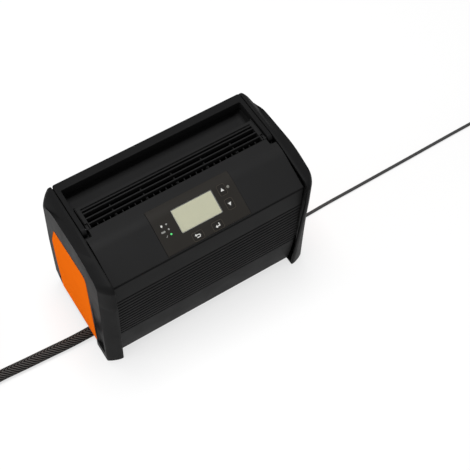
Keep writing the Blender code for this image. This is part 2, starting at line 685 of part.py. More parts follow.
def end_frame(side, name):
    """The bulkhead that closes one end of the body and carries the cap and the lead."""
    fit = SHELL_WALL + GAP
    roof_z = CHANNEL_FLOOR_Z - 0.003 - GAP
    block_front = CHANNEL_FRONT_Y - 0.0025 - GAP
    low_z = 0.0015
    low_front_y = front_face_y(BODY_BOTTOM_Z) + 0.008
    outline = [(low_front_y, low_z), (low_front_y, BODY_BOTTOM_Z - 0.001)]
    outline += front_line(fit)
    line = [p for p in panel_line(fit, 0.012) if p[0] < block_front]
    outline += line
    last_y, last_z = line[-1]
    outline += [(block_front, min(last_z, TOP_Z - fit)), (block_front, roof_z),
                (RECESS_FRONT_Y - RECESS_WALL - GAP, roof_z),
                (RECESS_FRONT_Y - RECESS_WALL - GAP, RECESS_FLOOR_Z - RECESS_WALL - GAP),
                (REAR_INNER_Y - GAP, RECESS_FLOOR_Z - RECESS_WALL - GAP),
                (REAR_INNER_Y - GAP, BODY_BOTTOM_Z), (REAR_INNER_Y - 0.006, low_z)]
    low_x, high_x = sorted((side * FRAME_INNER_X, side * FRAME_OUTER_X))
    frame = make_object(name, new_mesh((add_prism, outline, low_x, high_x)), BLACK)
    ears = bmesh.new()
    for z in REAR_SCREW_LEVELS:
        x0, x1 = sorted((side * (FRAME_INNER_X + 0.0005), side * (REAR_SCREW_X - 0.004)))
        add_box(ears, (x0, REAR_INNER_Y - GAP - 0.008, z - 0.004), (x1, REAR_INNER_Y - GAP, z + 0.004))
    unite(frame, cutter(f"{name}_ears", ears))
    holes = bmesh.new()
    for y, z in CAP_SCREW_PLACES:
        add_cylinder(holes, (side * (FRAME_INNER_X - OVER), y, z), (side, 0, 0), 0.03,
                     CAP_SCREW_RADIUS + GAP, FASTENER_SIDES)
    for z in REAR_SCREW_LEVELS:
        add_cylinder(holes, (side * REAR_SCREW_X, REAR_INNER_Y + OVER, z), (0, -1, 0), 0.03,
                     REAR_SCREW_RADIUS + GAP, FASTENER_SIDES)
    lead_z, neck = (BATTERY_LEAD_Z, BATTERY_NECK_RADIUS) if side < 0 else (MAINS_LEAD_Z, MAINS_NECK_RADIUS)
    add_cylinder(holes, (side * (FRAME_INNER_X - OVER), LEAD_Y, lead_z), (side, 0, 0), 0.03,
                 neck + GAP, 14)
    subtract(frame, cutter(f"{name}_holes", holes))
    return frame


BATTERY_NECK_RADIUS = 0.0076
MAINS_NECK_RADIUS = 0.0036


# End caps

def side_x(z):
    """The cap's outer face leans in towards the top."""
    return LENGTH / 2 - PLATE_PROUD - CAP_LEAN * z


def rim_outline():
    """The cap's outline in (y, z) where it meets the body."""
    return fillet([
        (FRONT_Y + 0.0105, 0.0, 0, 1),
        (FRONT_Y, HEIGHT * 0.72, 0.20, 3),
        (FRONT_Y, HEIGHT - 0.0172, 0.012, 4),
        (FRONT_Y + 0.047, HEIGHT - 0.0066, 0.10, 2),
        (FRONT_Y + 0.084, HEIGHT - 0.0006, 0.20, 2),
        (BACK_Y - 0.0052, HEIGHT, 0.0095, 3),
        (BACK_Y - 0.001, HEIGHT * 0.60, 0.12, 2),
        (BACK_Y, 0.015, 0, 1),
        (BACK_Y - 0.007, 0.0, 0, 1),
    ])


def side_outline():
    """The outline of the cap's outer face, with the same corners as the rim."""
    return fillet([
        (SIDE_EDGE_Y, 0.0, 0, 1),
        (SIDE_EDGE_Y - 0.0006, HEIGHT * 0.72, 0.20, 3),
        (SIDE_EDGE_Y, HEIGHT - 0.023, 0.012, 4),
        (FRONT_Y + 0.064, HEIGHT - 0.0085, 0.10, 2),
        (BACK_Y - 0.041, HEIGHT - 0.0105, 0.05, 2),
        (BACK_Y - 0.0095, HEIGHT - 0.0285, 0.010, 3),
        (BACK_Y - 0.0015, HEIGHT * 0.50, 0.10, 2),
        (BACK_Y, 0.015, 0, 1),
        (BACK_Y - 0.007, 0.0, 0, 1),
    ])


def plate_outline():
    """The side plate's outline, cut away in front where the lead passes under it."""
    front = SIDE_EDGE_Y + 0.0365
    outlet_back = LEAD_Y + OUTLET_WIDTH / 2
    return fillet([
        (front, OUTLET_HEIGHT + 0.001, 0, 1),
        (front - 0.0015, HEIGHT - 0.054, 0.008, 4),
        (BACK_Y - 0.031, HEIGHT - 0.062, 0.008, 4),
        (BACK_Y - 0.010, HEIGHT * 0.50, 0.06, 2),
        (BACK_Y - 0.003, HEIGHT * 0.26, 0.06, 2),
        (BACK_Y - 0.004, CAP_SKIRT_Z + 0.016, 0.02, 2),
        (BACK_Y - 0.010, CAP_SKIRT_Z + 0.001, 0, 1),
        (outlet_back + 0.0015, CAP_SKIRT_Z + 0.001, 0, 1),
        (outlet_back + 0.0015, OUTLET_HEIGHT + 0.001, 0.003, 2),
    ])


def flat_ring(outline, x, side):
    return [(side * x, y, z) for y, z in outline]


def leaned_ring(outline, offset, side):
    return [(side * (side_x(z) + offset), y, z) for y, z in outline]


def end_cap(side, name):
    """A deep moulded cap that stands proud of the body, with feet and a pocket for its plate."""
    rim, edge = rim_outline(), side_outline()
    cap = make_object(name, new_mesh((add_loft, [
        flat_ring(rim, RIM_X, side), flat_ring(rim, RIM_X + CAP_BAND, side),
        leaned_ring(edge, 0.0, side)])), BLACK)
    soften(cap, 0.0012, 1, 28)
    smooth(cap, 30)

    hollow_rim, hollow_edge = inset(rim, CAP_WALL), inset(edge, CAP_WALL + 0.001)
    hollow_rim = [(y, max(z, FOOT_THICKNESS)) for y, z in hollow_rim]
    hollow_edge = [(y, max(z, FOOT_THICKNESS)) for y, z in hollow_edge]
    hollow = cutter(f"{name}_hollow", new_mesh((add_loft, [
        flat_ring(hollow_rim, RIM_X - 0.002, side), flat_ring(hollow_rim, RIM_X + CAP_BAND, side),
        leaned_ring(hollow_edge, -CAP_SIDE_WALL, side)])))
    subtract(cap, hollow)

    low_x = RIM_X - 0.002
    front_foot_y = FRONT_Y + 0.0105 + FRONT_FOOT_LENGTH
    back_foot_y = BACK_Y - 0.007 - BACK_FOOT_LENGTH
    wall_in = side_x(0) - CAP_SIDE_WALL
    x0, x1 = sorted((side * low_x, side * wall_in))
    skirt_x0, skirt_x1 = sorted((side * low_x, side * (LENGTH / 2 + OVER)))
    subtract(cap, cutter(f"{name}_open_floor", new_mesh(
        (add_box, (x0, front_foot_y, -OVER), (x1, back_foot_y, FOOT_THICKNESS + 0.001)))))
    subtract(cap, cutter(f"{name}_skirt", new_mesh(
        (add_box, (skirt_x0, front_foot_y, -OVER), (skirt_x1, back_foot_y, CAP_SKIRT_Z)))))

    outlet = [(LEAD_Y - OUTLET_WIDTH / 2, -OVER), (LEAD_Y + OUTLET_WIDTH / 2, -OVER),
              (LEAD_Y + OUTLET_WIDTH / 2, OUTLET_HEIGHT - 0.004),
              (LEAD_Y + OUTLET_WIDTH / 2 - 0.0015, OUTLET_HEIGHT - 0.0015),
              (LEAD_Y + OUTLET_WIDTH / 2 - 0.004, OUTLET_HEIGHT),
              (LEAD_Y - OUTLET_WIDTH / 2 + 0.004, OUTLET_HEIGHT),
              (LEAD_Y - OUTLET_WIDTH / 2 + 0.0015, OUTLET_HEIGHT - 0.0015),
              (LEAD_Y - OUTLET_WIDTH / 2, OUTLET_HEIGHT - 0.004)]
    subtract(cap, cutter(f"{name}_outlet", new_mesh((add_prism, outlet, skirt_x0, skirt_x1))))

    pocket = inset(plate_outline(), -PLATE_EDGE_GAP)
    subtract(cap, cutter(f"{name}_plate_pocket", new_mesh((add_loft, [
        leaned_ring(pocket, PLATE_PROUD - PLATE_THICKNESS - GAP, side),
        leaned_ring(pocket, OVER, side)]))))

    scoop_top, scoop_low = HEIGHT * 0.67, 0.016
    scoop_front, scoop_back = SIDE_EDGE_Y + 0.005, SIDE_EDGE_Y + 0.0335
    scoop = bmesh.new()
    rings = []
    for y, share in ((scoop_front, 0.0), (scoop_front + 0.007, 1.0), (scoop_back - 0.005, 1.0),
                     (scoop_back, 0.35)):
        rings.append([(side * (side_x(scoop_top) + 0.0004), y, scoop_top),
                      (side * (side_x(scoop_low) - SCOOP_DEPTH * share + 0.0004), y, scoop_low),
                      (side * (side_x(scoop_low) + OVER), y, scoop_low),
                      (side * (side_x(scoop_top) + OVER), y, scoop_top)])
    add_loft(scoop, rings)
    subtract(cap, cutter(f"{name}_scoop", scoop))

    bosses = bmesh.new()
    boss_start = FRAME_OUTER_X + GAP
    for y, z in CAP_SCREW_PLACES:
        reach = side_x(z) - CAP_SIDE_WALL + 0.0017 - boss_start
        add_cylinder(bosses, (side * boss_start, y, z), (side, 0, 0), reach, CAP_BOSS_RADIUS, 12)
    unite(cap, cutter(f"{name}_bosses", bosses))
    holes = bmesh.new()
    for y, z in CAP_SCREW_PLACES:
        add_stepped_hole(holes, (side * screw_head_x(z), y, z), (side, 0, 0),
                         CAP_SCREW_RADIUS + GAP, CAP_SCREW_HEAD_RADIUS + GAP)
    subtract(cap, cutter(f"{name}_screw_holes", holes))
    return cap


def screw_head_x(z):
    """Where the underside of a cap screw's head bears on the cap, under the side plate."""
    return side_x(z) - PLATE_THICKNESS + PLATE_PROUD - 0.0028


def side_plate(side, name):
    """The coloured plate that covers the cap's screws."""
    outline = plate_outline()
    plate = make_object(name, new_mesh((add_loft, [
        leaned_ring(outline, PLATE_PROUD - PLATE_THICKNESS, side),
        leaned_ring(outline, PLATE_PROUD - 0.0006, side),
        leaned_ring(inset(outline, 0.0006), PLATE_PROUD, side)])), ORANGE)
    smooth(plate, 30)
    return plate


# Handle

def u_shape(depth, z_low, z_high, mesh_data):
    """One closed U in plan: two arms from the pivots and a bar across the back."""
    radius = 0.003
    inner, outer = ARM_INNER_X + depth, ARM_OUTER_X - depth
    bar_front, bar_back = BAR_FRONT_Y + depth, HANDLE_BACK_Y - depth
    front = HANDLE_PIVOT_Y
    outline = fillet([
        (-outer, front, 0, 1), (-inner, front, 0, 1), (-inner, bar_front, radius / 2, 3),
        (inner, bar_front, radius / 2, 3), (inner, front, 0, 1), (outer, front, 0, 1),
        (outer, bar_back, radius, 4), (-outer, bar_back, radius, 4)])
    add_prism(mesh_data, outline, z_low, z_high, "Z")


def carry_handle():
    """The U-shaped handle, folded down, with round ends on its pivots."""
    body = bmesh.new()
    u_shape(0.0, HANDLE_LOW_Z, HEIGHT, body)
    handle = make_object("carry_handle", body, BLACK)
    ends = bmesh.new()
    for side in (-1, 1):
        add_cylinder(ends, (side * ARM_INNER_X, HANDLE_PIVOT_Y, PIVOT_Z), (side, 0, 0),
                     HANDLE_ARM_WIDTH, ARM_END_RADIUS, 24)
    unite(handle, cutter("handle_ends", ends))
    bores = bmesh.new()
    for side in (-1, 1):
        add_cylinder(bores, (side * (ARM_INNER_X - 0.001), HANDLE_PIVOT_Y, PIVOT_Z), (side, 0, 0),
                     HANDLE_ARM_WIDTH, HANDLE_PIN_RADIUS + GAP, 12)
    subtract(handle, cutter("handle_bores", bores))
    soften(handle, HANDLE_EDGE_RADIUS * 0.6, 2, 50)
    smooth(handle, 35)
    return handle


def handle_pin(side, name):
    pin = make_object(name, new_mesh(
        (add_cylinder, (side * (CHANNEL_X - LUG_WIDTH - 0.0008), HANDLE_PIVOT_Y, PIVOT_Z), (side, 0, 0),
         HANDLE_PIN_LENGTH, HANDLE_PIN_RADIUS, 12)), STEEL)
    smooth(pin)
    return pin


HANDLE_PIN_LENGTH = ARM_OUTER_X - 0.0013 - (CHANNEL_X - LUG_WIDTH - 0.0008)


# Vent grille

def slat_places():
    count = int((LAST_SLAT_Y - SLAT_WIDTH - FIRST_SLAT_Y) / SLAT_PITCH) + 1
    return [FIRST_SLAT_Y + SLAT_PITCH * k for k in range(count)] + [LAST_SLAT_Y]


def vent_grille():
    """Long slats along X over cross ribs, with a comb of short teeth at the panel's edge."""
    low_z = TOP_Z - GRILLE_HEIGHT
    rail_x = GRILLE_HOLE_X - GAP
    front_y = GRILLE_FRONT_Y + GAP
    hole_back = RECESS_FRONT_Y - RECESS_WALL - 0.0005 - GAP
    flange_low = GRILLE_LEDGE_Z + GAP
    flange_front = HANDLE_PIVOT_Y + LUG_RADIUS + 0.001
    base = make_object("vent_grille", new_mesh(
        (add_box, (-GRILLE_X, hole_back - 0.001, flange_low), (GRILLE_X, RECESS_FRONT_Y - 0.0001, TOP_Z))),
        BLACK_FINE)
    bars = bmesh.new()
    for side in (-1, 1):
        x0, x1 = sorted((side * (rail_x - 0.0005), side * (GRILLE_X - 0.00001)))
        add_box(bars, (x0, flange_front, flange_low + 0.00001), (x1, hole_back, TOP_Z - 0.00001))
        x0, x1 = sorted((side * (rail_x - 0.0016), side * rail_x))
        add_box(bars, (x0, front_y, low_z), (x1, hole_back - 0.00002, TOP_Z - 0.00002))
    add_box(bars, (-rail_x, hole_back - 0.0014, low_z), (rail_x, hole_back, flange_low + 0.001))
    add_box(bars, (-rail_x + 0.0003, front_y, low_z - RIB_HEIGHT + 0.0005),
            (rail_x - 0.0003, front_y + 0.0012, low_z + 0.001))
    for k, y in enumerate(slat_places()):
        drop = 0.00004 + 0.00001 * k
        add_box(bars, (-rail_x + 0.0002, y - SLAT_WIDTH / 2, low_z + 0.0003),
                (rail_x - 0.0002, y + SLAT_WIDTH / 2, TOP_Z - drop))
    for k in range(RIB_COUNT):
        x = (k - (RIB_COUNT - 1) / 2) * RIB_PITCH
        add_box(bars, (x - RIB_WIDTH / 2, front_y + 0.0001, low_z - RIB_HEIGHT),
                (x + RIB_WIDTH / 2, hole_back - 0.0001, low_z + 0.0012))
    tooth_pitch = RIB_PITCH / TEETH_PER_RIB
    tooth_count = 2 * int((rail_x - 0.003) / tooth_pitch) + 1
    for k in range(tooth_count):
        x = (k - (tooth_count - 1) / 2) * tooth_pitch
        add_box(bars, (x - TOOTH_WIDTH / 2, front_y + 0.0002, low_z - 0.0002),
                (x + TOOTH_WIDTH / 2, front_y + TOOTH_LENGTH, TOP_Z - 0.0008))
    unite(base, cutter("grille_bars", bars), tool_overlaps=True)
    return base


# Control panel pieces

def control_overlay():
    """The film over the panel, which bends over the blend at its top."""
    outer = panel_line(-OVERLAY_PROUD, OVERLAY_LOW, OVERLAY_HIGH)
    inner = panel_line(OVERLAY_THICKNESS - OVERLAY_PROUD, OVERLAY_LOW, OVERLAY_HIGH)
    overlay = make_object("control_overlay", new_mesh(
        (add_prism, outer + inner[::-1], -OVERLAY_WIDTH / 2, OVERLAY_WIDTH / 2)), FILM)
    holes = bmesh.new()
    add_prism(holes, rounded_rectangle(DISPLAY_WIDTH + 2 * GAP, DISPLAY_HEIGHT + 2 * GAP, 0.0015, 3,
                                       (DISPLAY_OFFSET, DISPLAY_MIDDLE)), -0.01, 0.01, "Z")
    for x, along, (width, height) in KEY_PLACES.values():
        add_prism(holes, rounded_rectangle(width + 2 * GAP, height + 2 * GAP, KEY_CORNER, 2, (x, along)),
                  -0.01, 0.01, "Z")
    for x, along, radius in INDICATOR_PLACES.values():
        add_prism(holes, circle((x, along), radius + GAP, 12), -0.01, 0.01, "Z")
    subtract(overlay, cutter("overlay_openings", on_panel(holes)))
    return overlay


def display_window():
    """The clear window, which sits on the shell's ledge inside the film's opening."""
    top = OVERLAY_PROUD
    low = -OVERLAY_THICKNESS + OVERLAY_PROUD
    window = bmesh.new()
    add_prism(window, rounded_rectangle(DISPLAY_WIDTH, DISPLAY_HEIGHT, 0.0012, 3,
                                        (DISPLAY_OFFSET, DISPLAY_MIDDLE)), low, top, "Z")
    return make_object("display_window", on_panel(window), CLEAR)


def lcd_module():
    """The display itself, under the window, on the display board."""
    module = bmesh.new()
    top = -OVERLAY_THICKNESS + OVERLAY_PROUD - GAP
    width, height = DISPLAY_WIDTH - 0.0018, DISPLAY_HEIGHT - 0.0018
    add_prism(module, rounded_rectangle(width, height, 0.001, 2, (DISPLAY_OFFSET, DISPLAY_MIDDLE)),
              -DISPLAY_BOARD_DEPTH + GAP, top, "Z")
    return make_object("lcd_module", on_panel(module), LCD)


def control_key(name, x, along, size):
    """A key cap that slides in the panel and presses the switch below it."""
    top = OVERLAY_PROUD + 0.0001
    low = top - KEY_THICKNESS
    key = bmesh.new()
    width, height = size
    outline = rounded_rectangle(width, height, KEY_CORNER, 2, (x, along))
    soft = rounded_rectangle(width - 0.0008, height - 0.0008, KEY_CORNER - 0.0004, 2, (x, along))
    add_loft(key, [[(a, b, low) for a, b in outline], [(a, b, top - 0.0003) for a, b in outline],
                   [(a, b, top) for a, b in soft]])
    made = make_object(name, on_panel(key), KEYS)
    turn_about(made, PANEL_FRAME @ Vector((x, along, top)))
    return made


def indicator(name, x, along, radius):
    """A light guide from the board to the surface of the panel."""
    guide = bmesh.new()
    depth = DISPLAY_BOARD_DEPTH - GAP
    add_turned(guide, (x, along, -depth), (0, 0, 1),
               ((0, radius), (depth + OVERLAY_PROUD - 0.0002, radius), (depth + OVERLAY_PROUD, radius * 0.8)), 12)
    finish = GREEN_LENS if name == "indicator_ready" else LENS
    return make_object(name, on_panel(guide), finish)


def display_board():
    """The board behind the panel, with a switch under each key."""
    top = -DISPLAY_BOARD_DEPTH
    low_along, high_along = 0.0085, PANEL_LENGTH
    board = bmesh.new()
    add_box(board, (-DISPLAY_BOARD_WIDTH / 2, low_along, top - BOARD_THICKNESS),
            (DISPLAY_BOARD_WIDTH / 2, high_along, top))
    made = make_object("display_board", on_panel(board), BOARD)
    switches = bmesh.new()
    key_low = OVERLAY_PROUD + 0.0001 - KEY_THICKNESS
    for x, along, _ in KEY_PLACES.values():
        half = SWITCH_SIZE / 2
        centre = max(along, low_along + half + 0.0002)
        add_box(switches, (x - half, centre - half, top - 0.0005),
                (x + half, centre + half, key_low - KEY_TRAVEL - GAP))
    unite(made, cutter("key_switches", on_panel(switches)))
    return made


# Inside

def main_board():
    board = new_mesh((add_box, (-MAIN_BOARD_X, MAIN_BOARD_FRONT_Y, MAIN_BOARD_Z),
                      (MAIN_BOARD_X, MAIN_BOARD_BACK_Y, MAIN_BOARD_Z + BOARD_THICKNESS)))
    return make_object("main_board", board, BOARD)


COMPONENT_Z = MAIN_BOARD_Z + BOARD_THICKNESS + GAP
CAPACITOR_X = MAIN_BOARD_X - CAPACITOR_RADIUS - 0.005
TRANSFORMER_X = CAPACITOR_X - CAPACITOR_RADIUS - COMPONENT_CLEARANCE - TRANSFORMER_WIDTH / 2
CHOKE_X = TRANSFORMER_X - TRANSFORMER_WIDTH / 2 - CHOKE_RADIUS - 0.004
TERMINAL_X = -(MAIN_BOARD_X - 0.014)


def transformer():
    """A ferrite core with two windows, and the winding round its middle leg."""
    x, y, width, depth, height = TRANSFORMER_X, -0.006, TRANSFORMER_WIDTH, 0.042, 0.052
    leg, window = 0.018, 0.013
    core = make_object("transformer_core", new_mesh(
        (add_box, (x - width / 2, y - depth / 2, COMPONENT_Z),
         (x + width / 2, y + depth / 2, COMPONENT_Z + height))), FERRITE)
    windows = bmesh.new()
    wall = 0.009
    for side in (-1, 1):
        x0, x1 = sorted((x + side * leg / 2, x + side * (leg / 2 + window)))
        add_box(windows, (x0, y - depth, COMPONENT_Z + wall), (x1, y + depth, COMPONENT_Z + height - wall))
    subtract(core, cutter("core_windows", windows))
    outer_x, inner_x = leg / 2 + window - GAP, leg / 2 + GAP
    bulge = 0.010
    low, high = COMPONENT_Z + wall + GAP, COMPONENT_Z + height - wall - GAP
    winding = make_object("transformer_winding", new_mesh(
        (add_prism, rounded_rectangle(2 * outer_x, depth + 2 * bulge, 0.008, 4, (x, y)), low, high, "Z")), TAPE)
    bore = new_mesh((add_box, (x - inner_x, y - depth / 2 - GAP, low - 0.01),
                     (x + inner_x, y + depth / 2 + GAP, high + 0.01)))
    subtract(winding, cutter("winding_bore", bore))
    return core, winding


def heat_sink(name, low_x, high_x, y, height, fins):
    """An extruded sink: a back plate with fins that run along X."""
    outline = [(y - 0.003, COMPONENT_Z), (y, COMPONENT_Z)]
    pitch = (height - 0.004) / fins
    for k in range(fins):
        z = COMPONENT_Z + 0.004 + pitch * k
        outline += [(y, z), (y + 0.014, z), (y + 0.014, z + 0.0018), (y, z + 0.0018)]
    outline += [(y, COMPONENT_Z + height), (y - 0.003, COMPONENT_Z + height)]
    return make_object(name, new_mesh((add_prism, outline, low_x, high_x)), ALUMINIUM)


def capacitor(name, x, y):
    radius, height = CAPACITOR_RADIUS, 0.045
    profile = ((0, radius - 0.001), (0.004, radius), (height - 0.001, radius), (height, radius - 0.001))
    made = make_object(name, new_mesh((add_turned, (x, y, COMPONENT_Z), (0, 0, 1), profile, 18)), SLEEVE)
    smooth(made)
    return made


def inductor():
    """A toroidal choke that lies flat on the board."""
    wire_radius, count, sides = 0.006, 16, 8
    ring_radius = CHOKE_RADIUS - wire_radius
    centre = Vector((CHOKE_X, 0.026, COMPONENT_Z + wire_radius))
    torus = bmesh.new()
    rings = []
    for i in range(count):
        a = 2 * math.pi * i / count
        out = Vector((math.cos(a), math.sin(a), 0))
        rings.append(add_ring(torus, [
            centre + out * (ring_radius + wire_radius * math.cos(b)) + Vector((0, 0, wire_radius * math.sin(b)))
            for b in (2 * math.pi * j / sides for j in range(sides))]))
    for i in range(count):
        bridge(torus, rings[i], rings[(i + 1) % count])
    made = make_object("output_choke", torus, COPPER)
    smooth(made)
    return made


def terminal_block():
    """Two stacked steps with round clamps, where the battery cable's wires end."""
    x, y = TERMINAL_X, -0.030
    block = make_object("terminal_block", new_mesh(
        (add_box, (x - 0.008, y - 0.016, COMPONENT_Z), (x + 0.008, y + 0.016, COMPONENT_Z + 0.018))), FILM)
    holes = bmesh.new()
    for dy in (-0.008, 0.008):
        add_cylinder(holes, (x, y + dy, COMPONENT_Z + 0.006), (0, 0, 1), 0.02, 0.0045, 12)
        add_cylinder(holes, (x - 0.012, y + dy, COMPONENT_Z + 0.009), (1, 0, 0), 0.012, 0.004, 12)
    subtract(block, cutter("terminal_holes", holes), tool_overlaps=True)
    return block


def fan():
    """An axial fan behind the rear grille: a square frame and the rotor that spins in it."""
    back_y = REAR_INNER_Y - GAP
    front_y = back_y - FAN_DEPTH
    half = FAN_SIZE / 2
    outline = rounded_rectangle(FAN_SIZE, FAN_SIZE, 0.005, 3, (FAN_X, FAN_Z))
    frame = make_object("fan_frame", new_mesh((add_prism, outline, front_y, back_y, "Y")), BLACK_FINE)
    holes = bmesh.new()
    add_prism(holes, circle((FAN_X, FAN_Z), FAN_BORE_RADIUS, 28), front_y - OVER, back_y + OVER, "Y")
    for dx in (-1, 1):
        for dz in (-1, 1):
            add_prism(holes, circle((FAN_X + dx * FAN_HOLE_OFFSET, FAN_Z + dz * FAN_HOLE_OFFSET),
                                    0.0017 + GAP, 8), front_y - OVER, back_y + OVER, "Y")
    subtract(frame, cutter("fan_holes", holes))
    struts = bmesh.new()
    add_prism(struts, circle((FAN_X, FAN_Z), FAN_HUB_RADIUS, 16), front_y + 0.0002, front_y + 0.003, "Y")
    for angle in (45, 135):
        turn = Matrix.Rotation(math.radians(angle), 2)
        corners = [Vector(p) for p in ((-half, -0.0012), (half, -0.0012), (half, 0.0012), (-half, 0.0012))]
        bar = [(FAN_X + (turn @ p).x, FAN_Z + (turn @ p).y) for p in corners]
        add_prism(struts, bar, front_y + 0.0003, front_y + 0.0028, "Y")
    add_prism(struts, circle((FAN_X, FAN_Z), 0.0022, 10), front_y + 0.001, front_y + 0.0125, "Y")
    unite(frame, cutter("fan_struts", struts), tool_overlaps=True)

    rotor_front, rotor_back = front_y + 0.0036, back_y - 0.002
    rotor = make_object("fan_rotor", new_mesh(
        (add_prism, circle((FAN_X, FAN_Z), FAN_HUB_RADIUS, 20), rotor_front, rotor_back, "Y")), BLACK_FINE)
    blades = bmesh.new()
    for k in range(FAN_BLADE_COUNT):
        base_angle = 2 * math.pi * k / FAN_BLADE_COUNT
        rings = []
        for radius, chord, twist in ((FAN_HUB_RADIUS - 0.001, 0.009, 40), (0.026, 0.012, 32),
                                     (FAN_BLADE_RADIUS, 0.014, 26)):
            lean = math.radians(twist)
            centre_y = (rotor_front + rotor_back) / 2
            ring = []
            for across, thick in ((-1, -1), (1, -1), (1, 1), (-1, 1)):
                along_arc = across * chord / 2 * math.cos(lean) + thick * 0.0006 * math.sin(lean)
                y = centre_y + across * chord / 2 * math.sin(lean) - thick * 0.0006 * math.cos(lean)
                angle = base_angle + along_arc / radius
                ring.append((FAN_X + radius * math.cos(angle), y, FAN_Z + radius * math.sin(angle)))
            rings.append(ring)
        add_loft(blades, rings)
    unite(rotor, cutter("fan_blades", blades))
    subtract(rotor, cutter("fan_rotor_bore", new_mesh(
        (add_prism, circle((FAN_X, FAN_Z), 0.0022 + GAP, 10), rotor_front - 0.001, front_y + 0.0135, "Y"))))
    turn_about(rotor, (FAN_X, (rotor_front + rotor_back) / 2, FAN_Z))
    return frame, rotor


def screw(name, head_base, direction, length, shank_radius, head_radius, head_height=0.0018):
    """A pan-head screw with a cross recess."""
    made = make_object(name, new_mesh((add_turned, head_base, direction, (
        (-length, shank_radius * 0.55), (-length + 0.0012, shank_radius), (0, shank_radius),
        (0, head_radius), (head_height * 0.6, head_radius), (head_height, head_radius * 0.65)),
        FASTENER_SIDES)), STEEL)
    smooth(made)
    return made


# Leads

def relief(name, side, lead_z, neck, cable_radius, length, finish):
    """A strain relief: a flange inside the bulkhead, a neck through it and a tapered boot."""
    wide = neck + 0.0016
    start = FRAME_INNER_X - GAP - 0.003
    boot_start = FRAME_OUTER_X + GAP
    profile = [(0, wide), (0.003, wide), (0.003, neck), (boot_start - start, neck),
               (boot_start - start, cable_radius + 0.0016)]
    rings = 3
    for k in range(rings):
        along = boot_start - start + length * (k + 0.5) / rings
        radius = cable_radius + 0.0016 - 0.0012 * (k + 1) / rings
        profile += [(along - 0.0008, radius + 0.0002), (along, radius - 0.0005), (along + 0.0012, radius - 0.0005)]
    profile.append((boot_start - start + length, cable_radius + 0.0003))
    made = make_object(name, new_mesh(
        (add_turned, (side * start, LEAD_Y, lead_z), (side, 0, 0), profile, 14)), finish)
    smooth(made, 30)
    return made


BATTERY_TUBE_X = -(FRAME_OUTER_X + GAP + BATTERY_RELIEF_LENGTH + 2 * GAP)
MAINS_TUBE_X = FRAME_OUTER_X + GAP + MAINS_RELIEF_LENGTH + 2 * GAP
BATTERY_COIL_CENTRE = (-0.4005, 0.0754)
MAINS_COIL_CENTRE = (0.5805, -0.0520)
BATTERY_REST_Z = BATTERY_CABLE_DIAMETER / 2 + 0.0002
MAINS_REST_Z = MAINS_CORD_DIAMETER / 2 + 0.0002

# The points that each lead passes through, from its strain relief to its coil
BATTERY_ROUTE = (
    (BATTERY_TUBE_X, LEAD_Y, BATTERY_LEAD_Z), (-0.172, LEAD_Y, BATTERY_LEAD_Z), (-0.200, -0.0190, BATTERY_REST_Z),
    (-0.232, -0.0172, BATTERY_REST_Z), (-0.265, -0.0155, BATTERY_REST_Z), (-0.300, -0.0133, BATTERY_REST_Z),
    (-0.314, -0.0132, BATTERY_REST_Z), (-0.3288, -0.0144, BATTERY_REST_Z),
)
MAINS_ROUTE = (
    (MAINS_TUBE_X, LEAD_Y, MAINS_LEAD_Z), (0.172, LEAD_Y, 0.0072), (0.190, -0.0192, 0.0040),
    (0.210, -0.0185, MAINS_REST_Z), (0.250, -0.0174, MAINS_REST_Z), (0.300, -0.0170, MAINS_REST_Z),
    (0.350, -0.0165, MAINS_REST_Z), (0.400, -0.0160, MAINS_REST_Z), (0.450, -0.0153, MAINS_REST_Z),
    (0.500, -0.0147, MAINS_REST_Z), (0.535, -0.0145, MAINS_REST_Z), (0.5601, -0.0145, MAINS_REST_Z),
)


def smooth_route(points, spacing):
    """A Catmull-Rom curve through the route's points, read off at even distances."""
    points = [Vector(p) for p in points]
    ends = [2 * points[0] - points[1], *points, 2 * points[-1] - points[-2]]
    fine = []
    for a, b, c, d in zip(ends, ends[1:], ends[2:], ends[3:]):
        for k in range(20):
            t = k / 20
            fine.append(0.5 * ((2 * b) + (c - a) * t + (2 * a - 5 * b + 4 * c - d) * t * t
                               + (3 * b - a - 3 * c + d) * t ** 3))
    fine.append(points[-1])
    lengths = [0.0]
    for a, b in zip(fine, fine[1:]):
        lengths.append(lengths[-1] + (b - a).length)
    count = max(2, round(lengths[-1] / spacing))
    read = []
    for k in range(count + 1):
        target = lengths[-1] * k / count
        i = max(j for j in range(len(lengths)) if lengths[j] <= target + 1e-9)
        i = min(i, len(fine) - 2)
        share = (target - lengths[i]) / max(lengths[i + 1] - lengths[i], 1e-9)
        read.append(fine[i].lerp(fine[i + 1], share))
    return read


def cord_tube(name, route, diameter, finish, resolution=2):
    """The stretch of a lead that isn't coiled, as a round tube with closed ends."""
    curve = bpy.data.curves.new(name, "CURVE")
    curve.dimensions = "3D"
    curve.bevel_depth = diameter / 2
    curve.bevel_resolution = resolution
    curve.use_fill_caps = True
    points = smooth_route(route, 0.015 + diameter * 1.2)
    spline = curve.splines.new("POLY")
    spline.points.add(len(points) - 1)
    for target, point in zip(spline.points, points):
        target.co = (*point, 1.0)
    curve.materials.append(finish)
    made = bpy.data.objects.new(name, curve)
    bpy.context.scene.collection.objects.link(made)
    return made


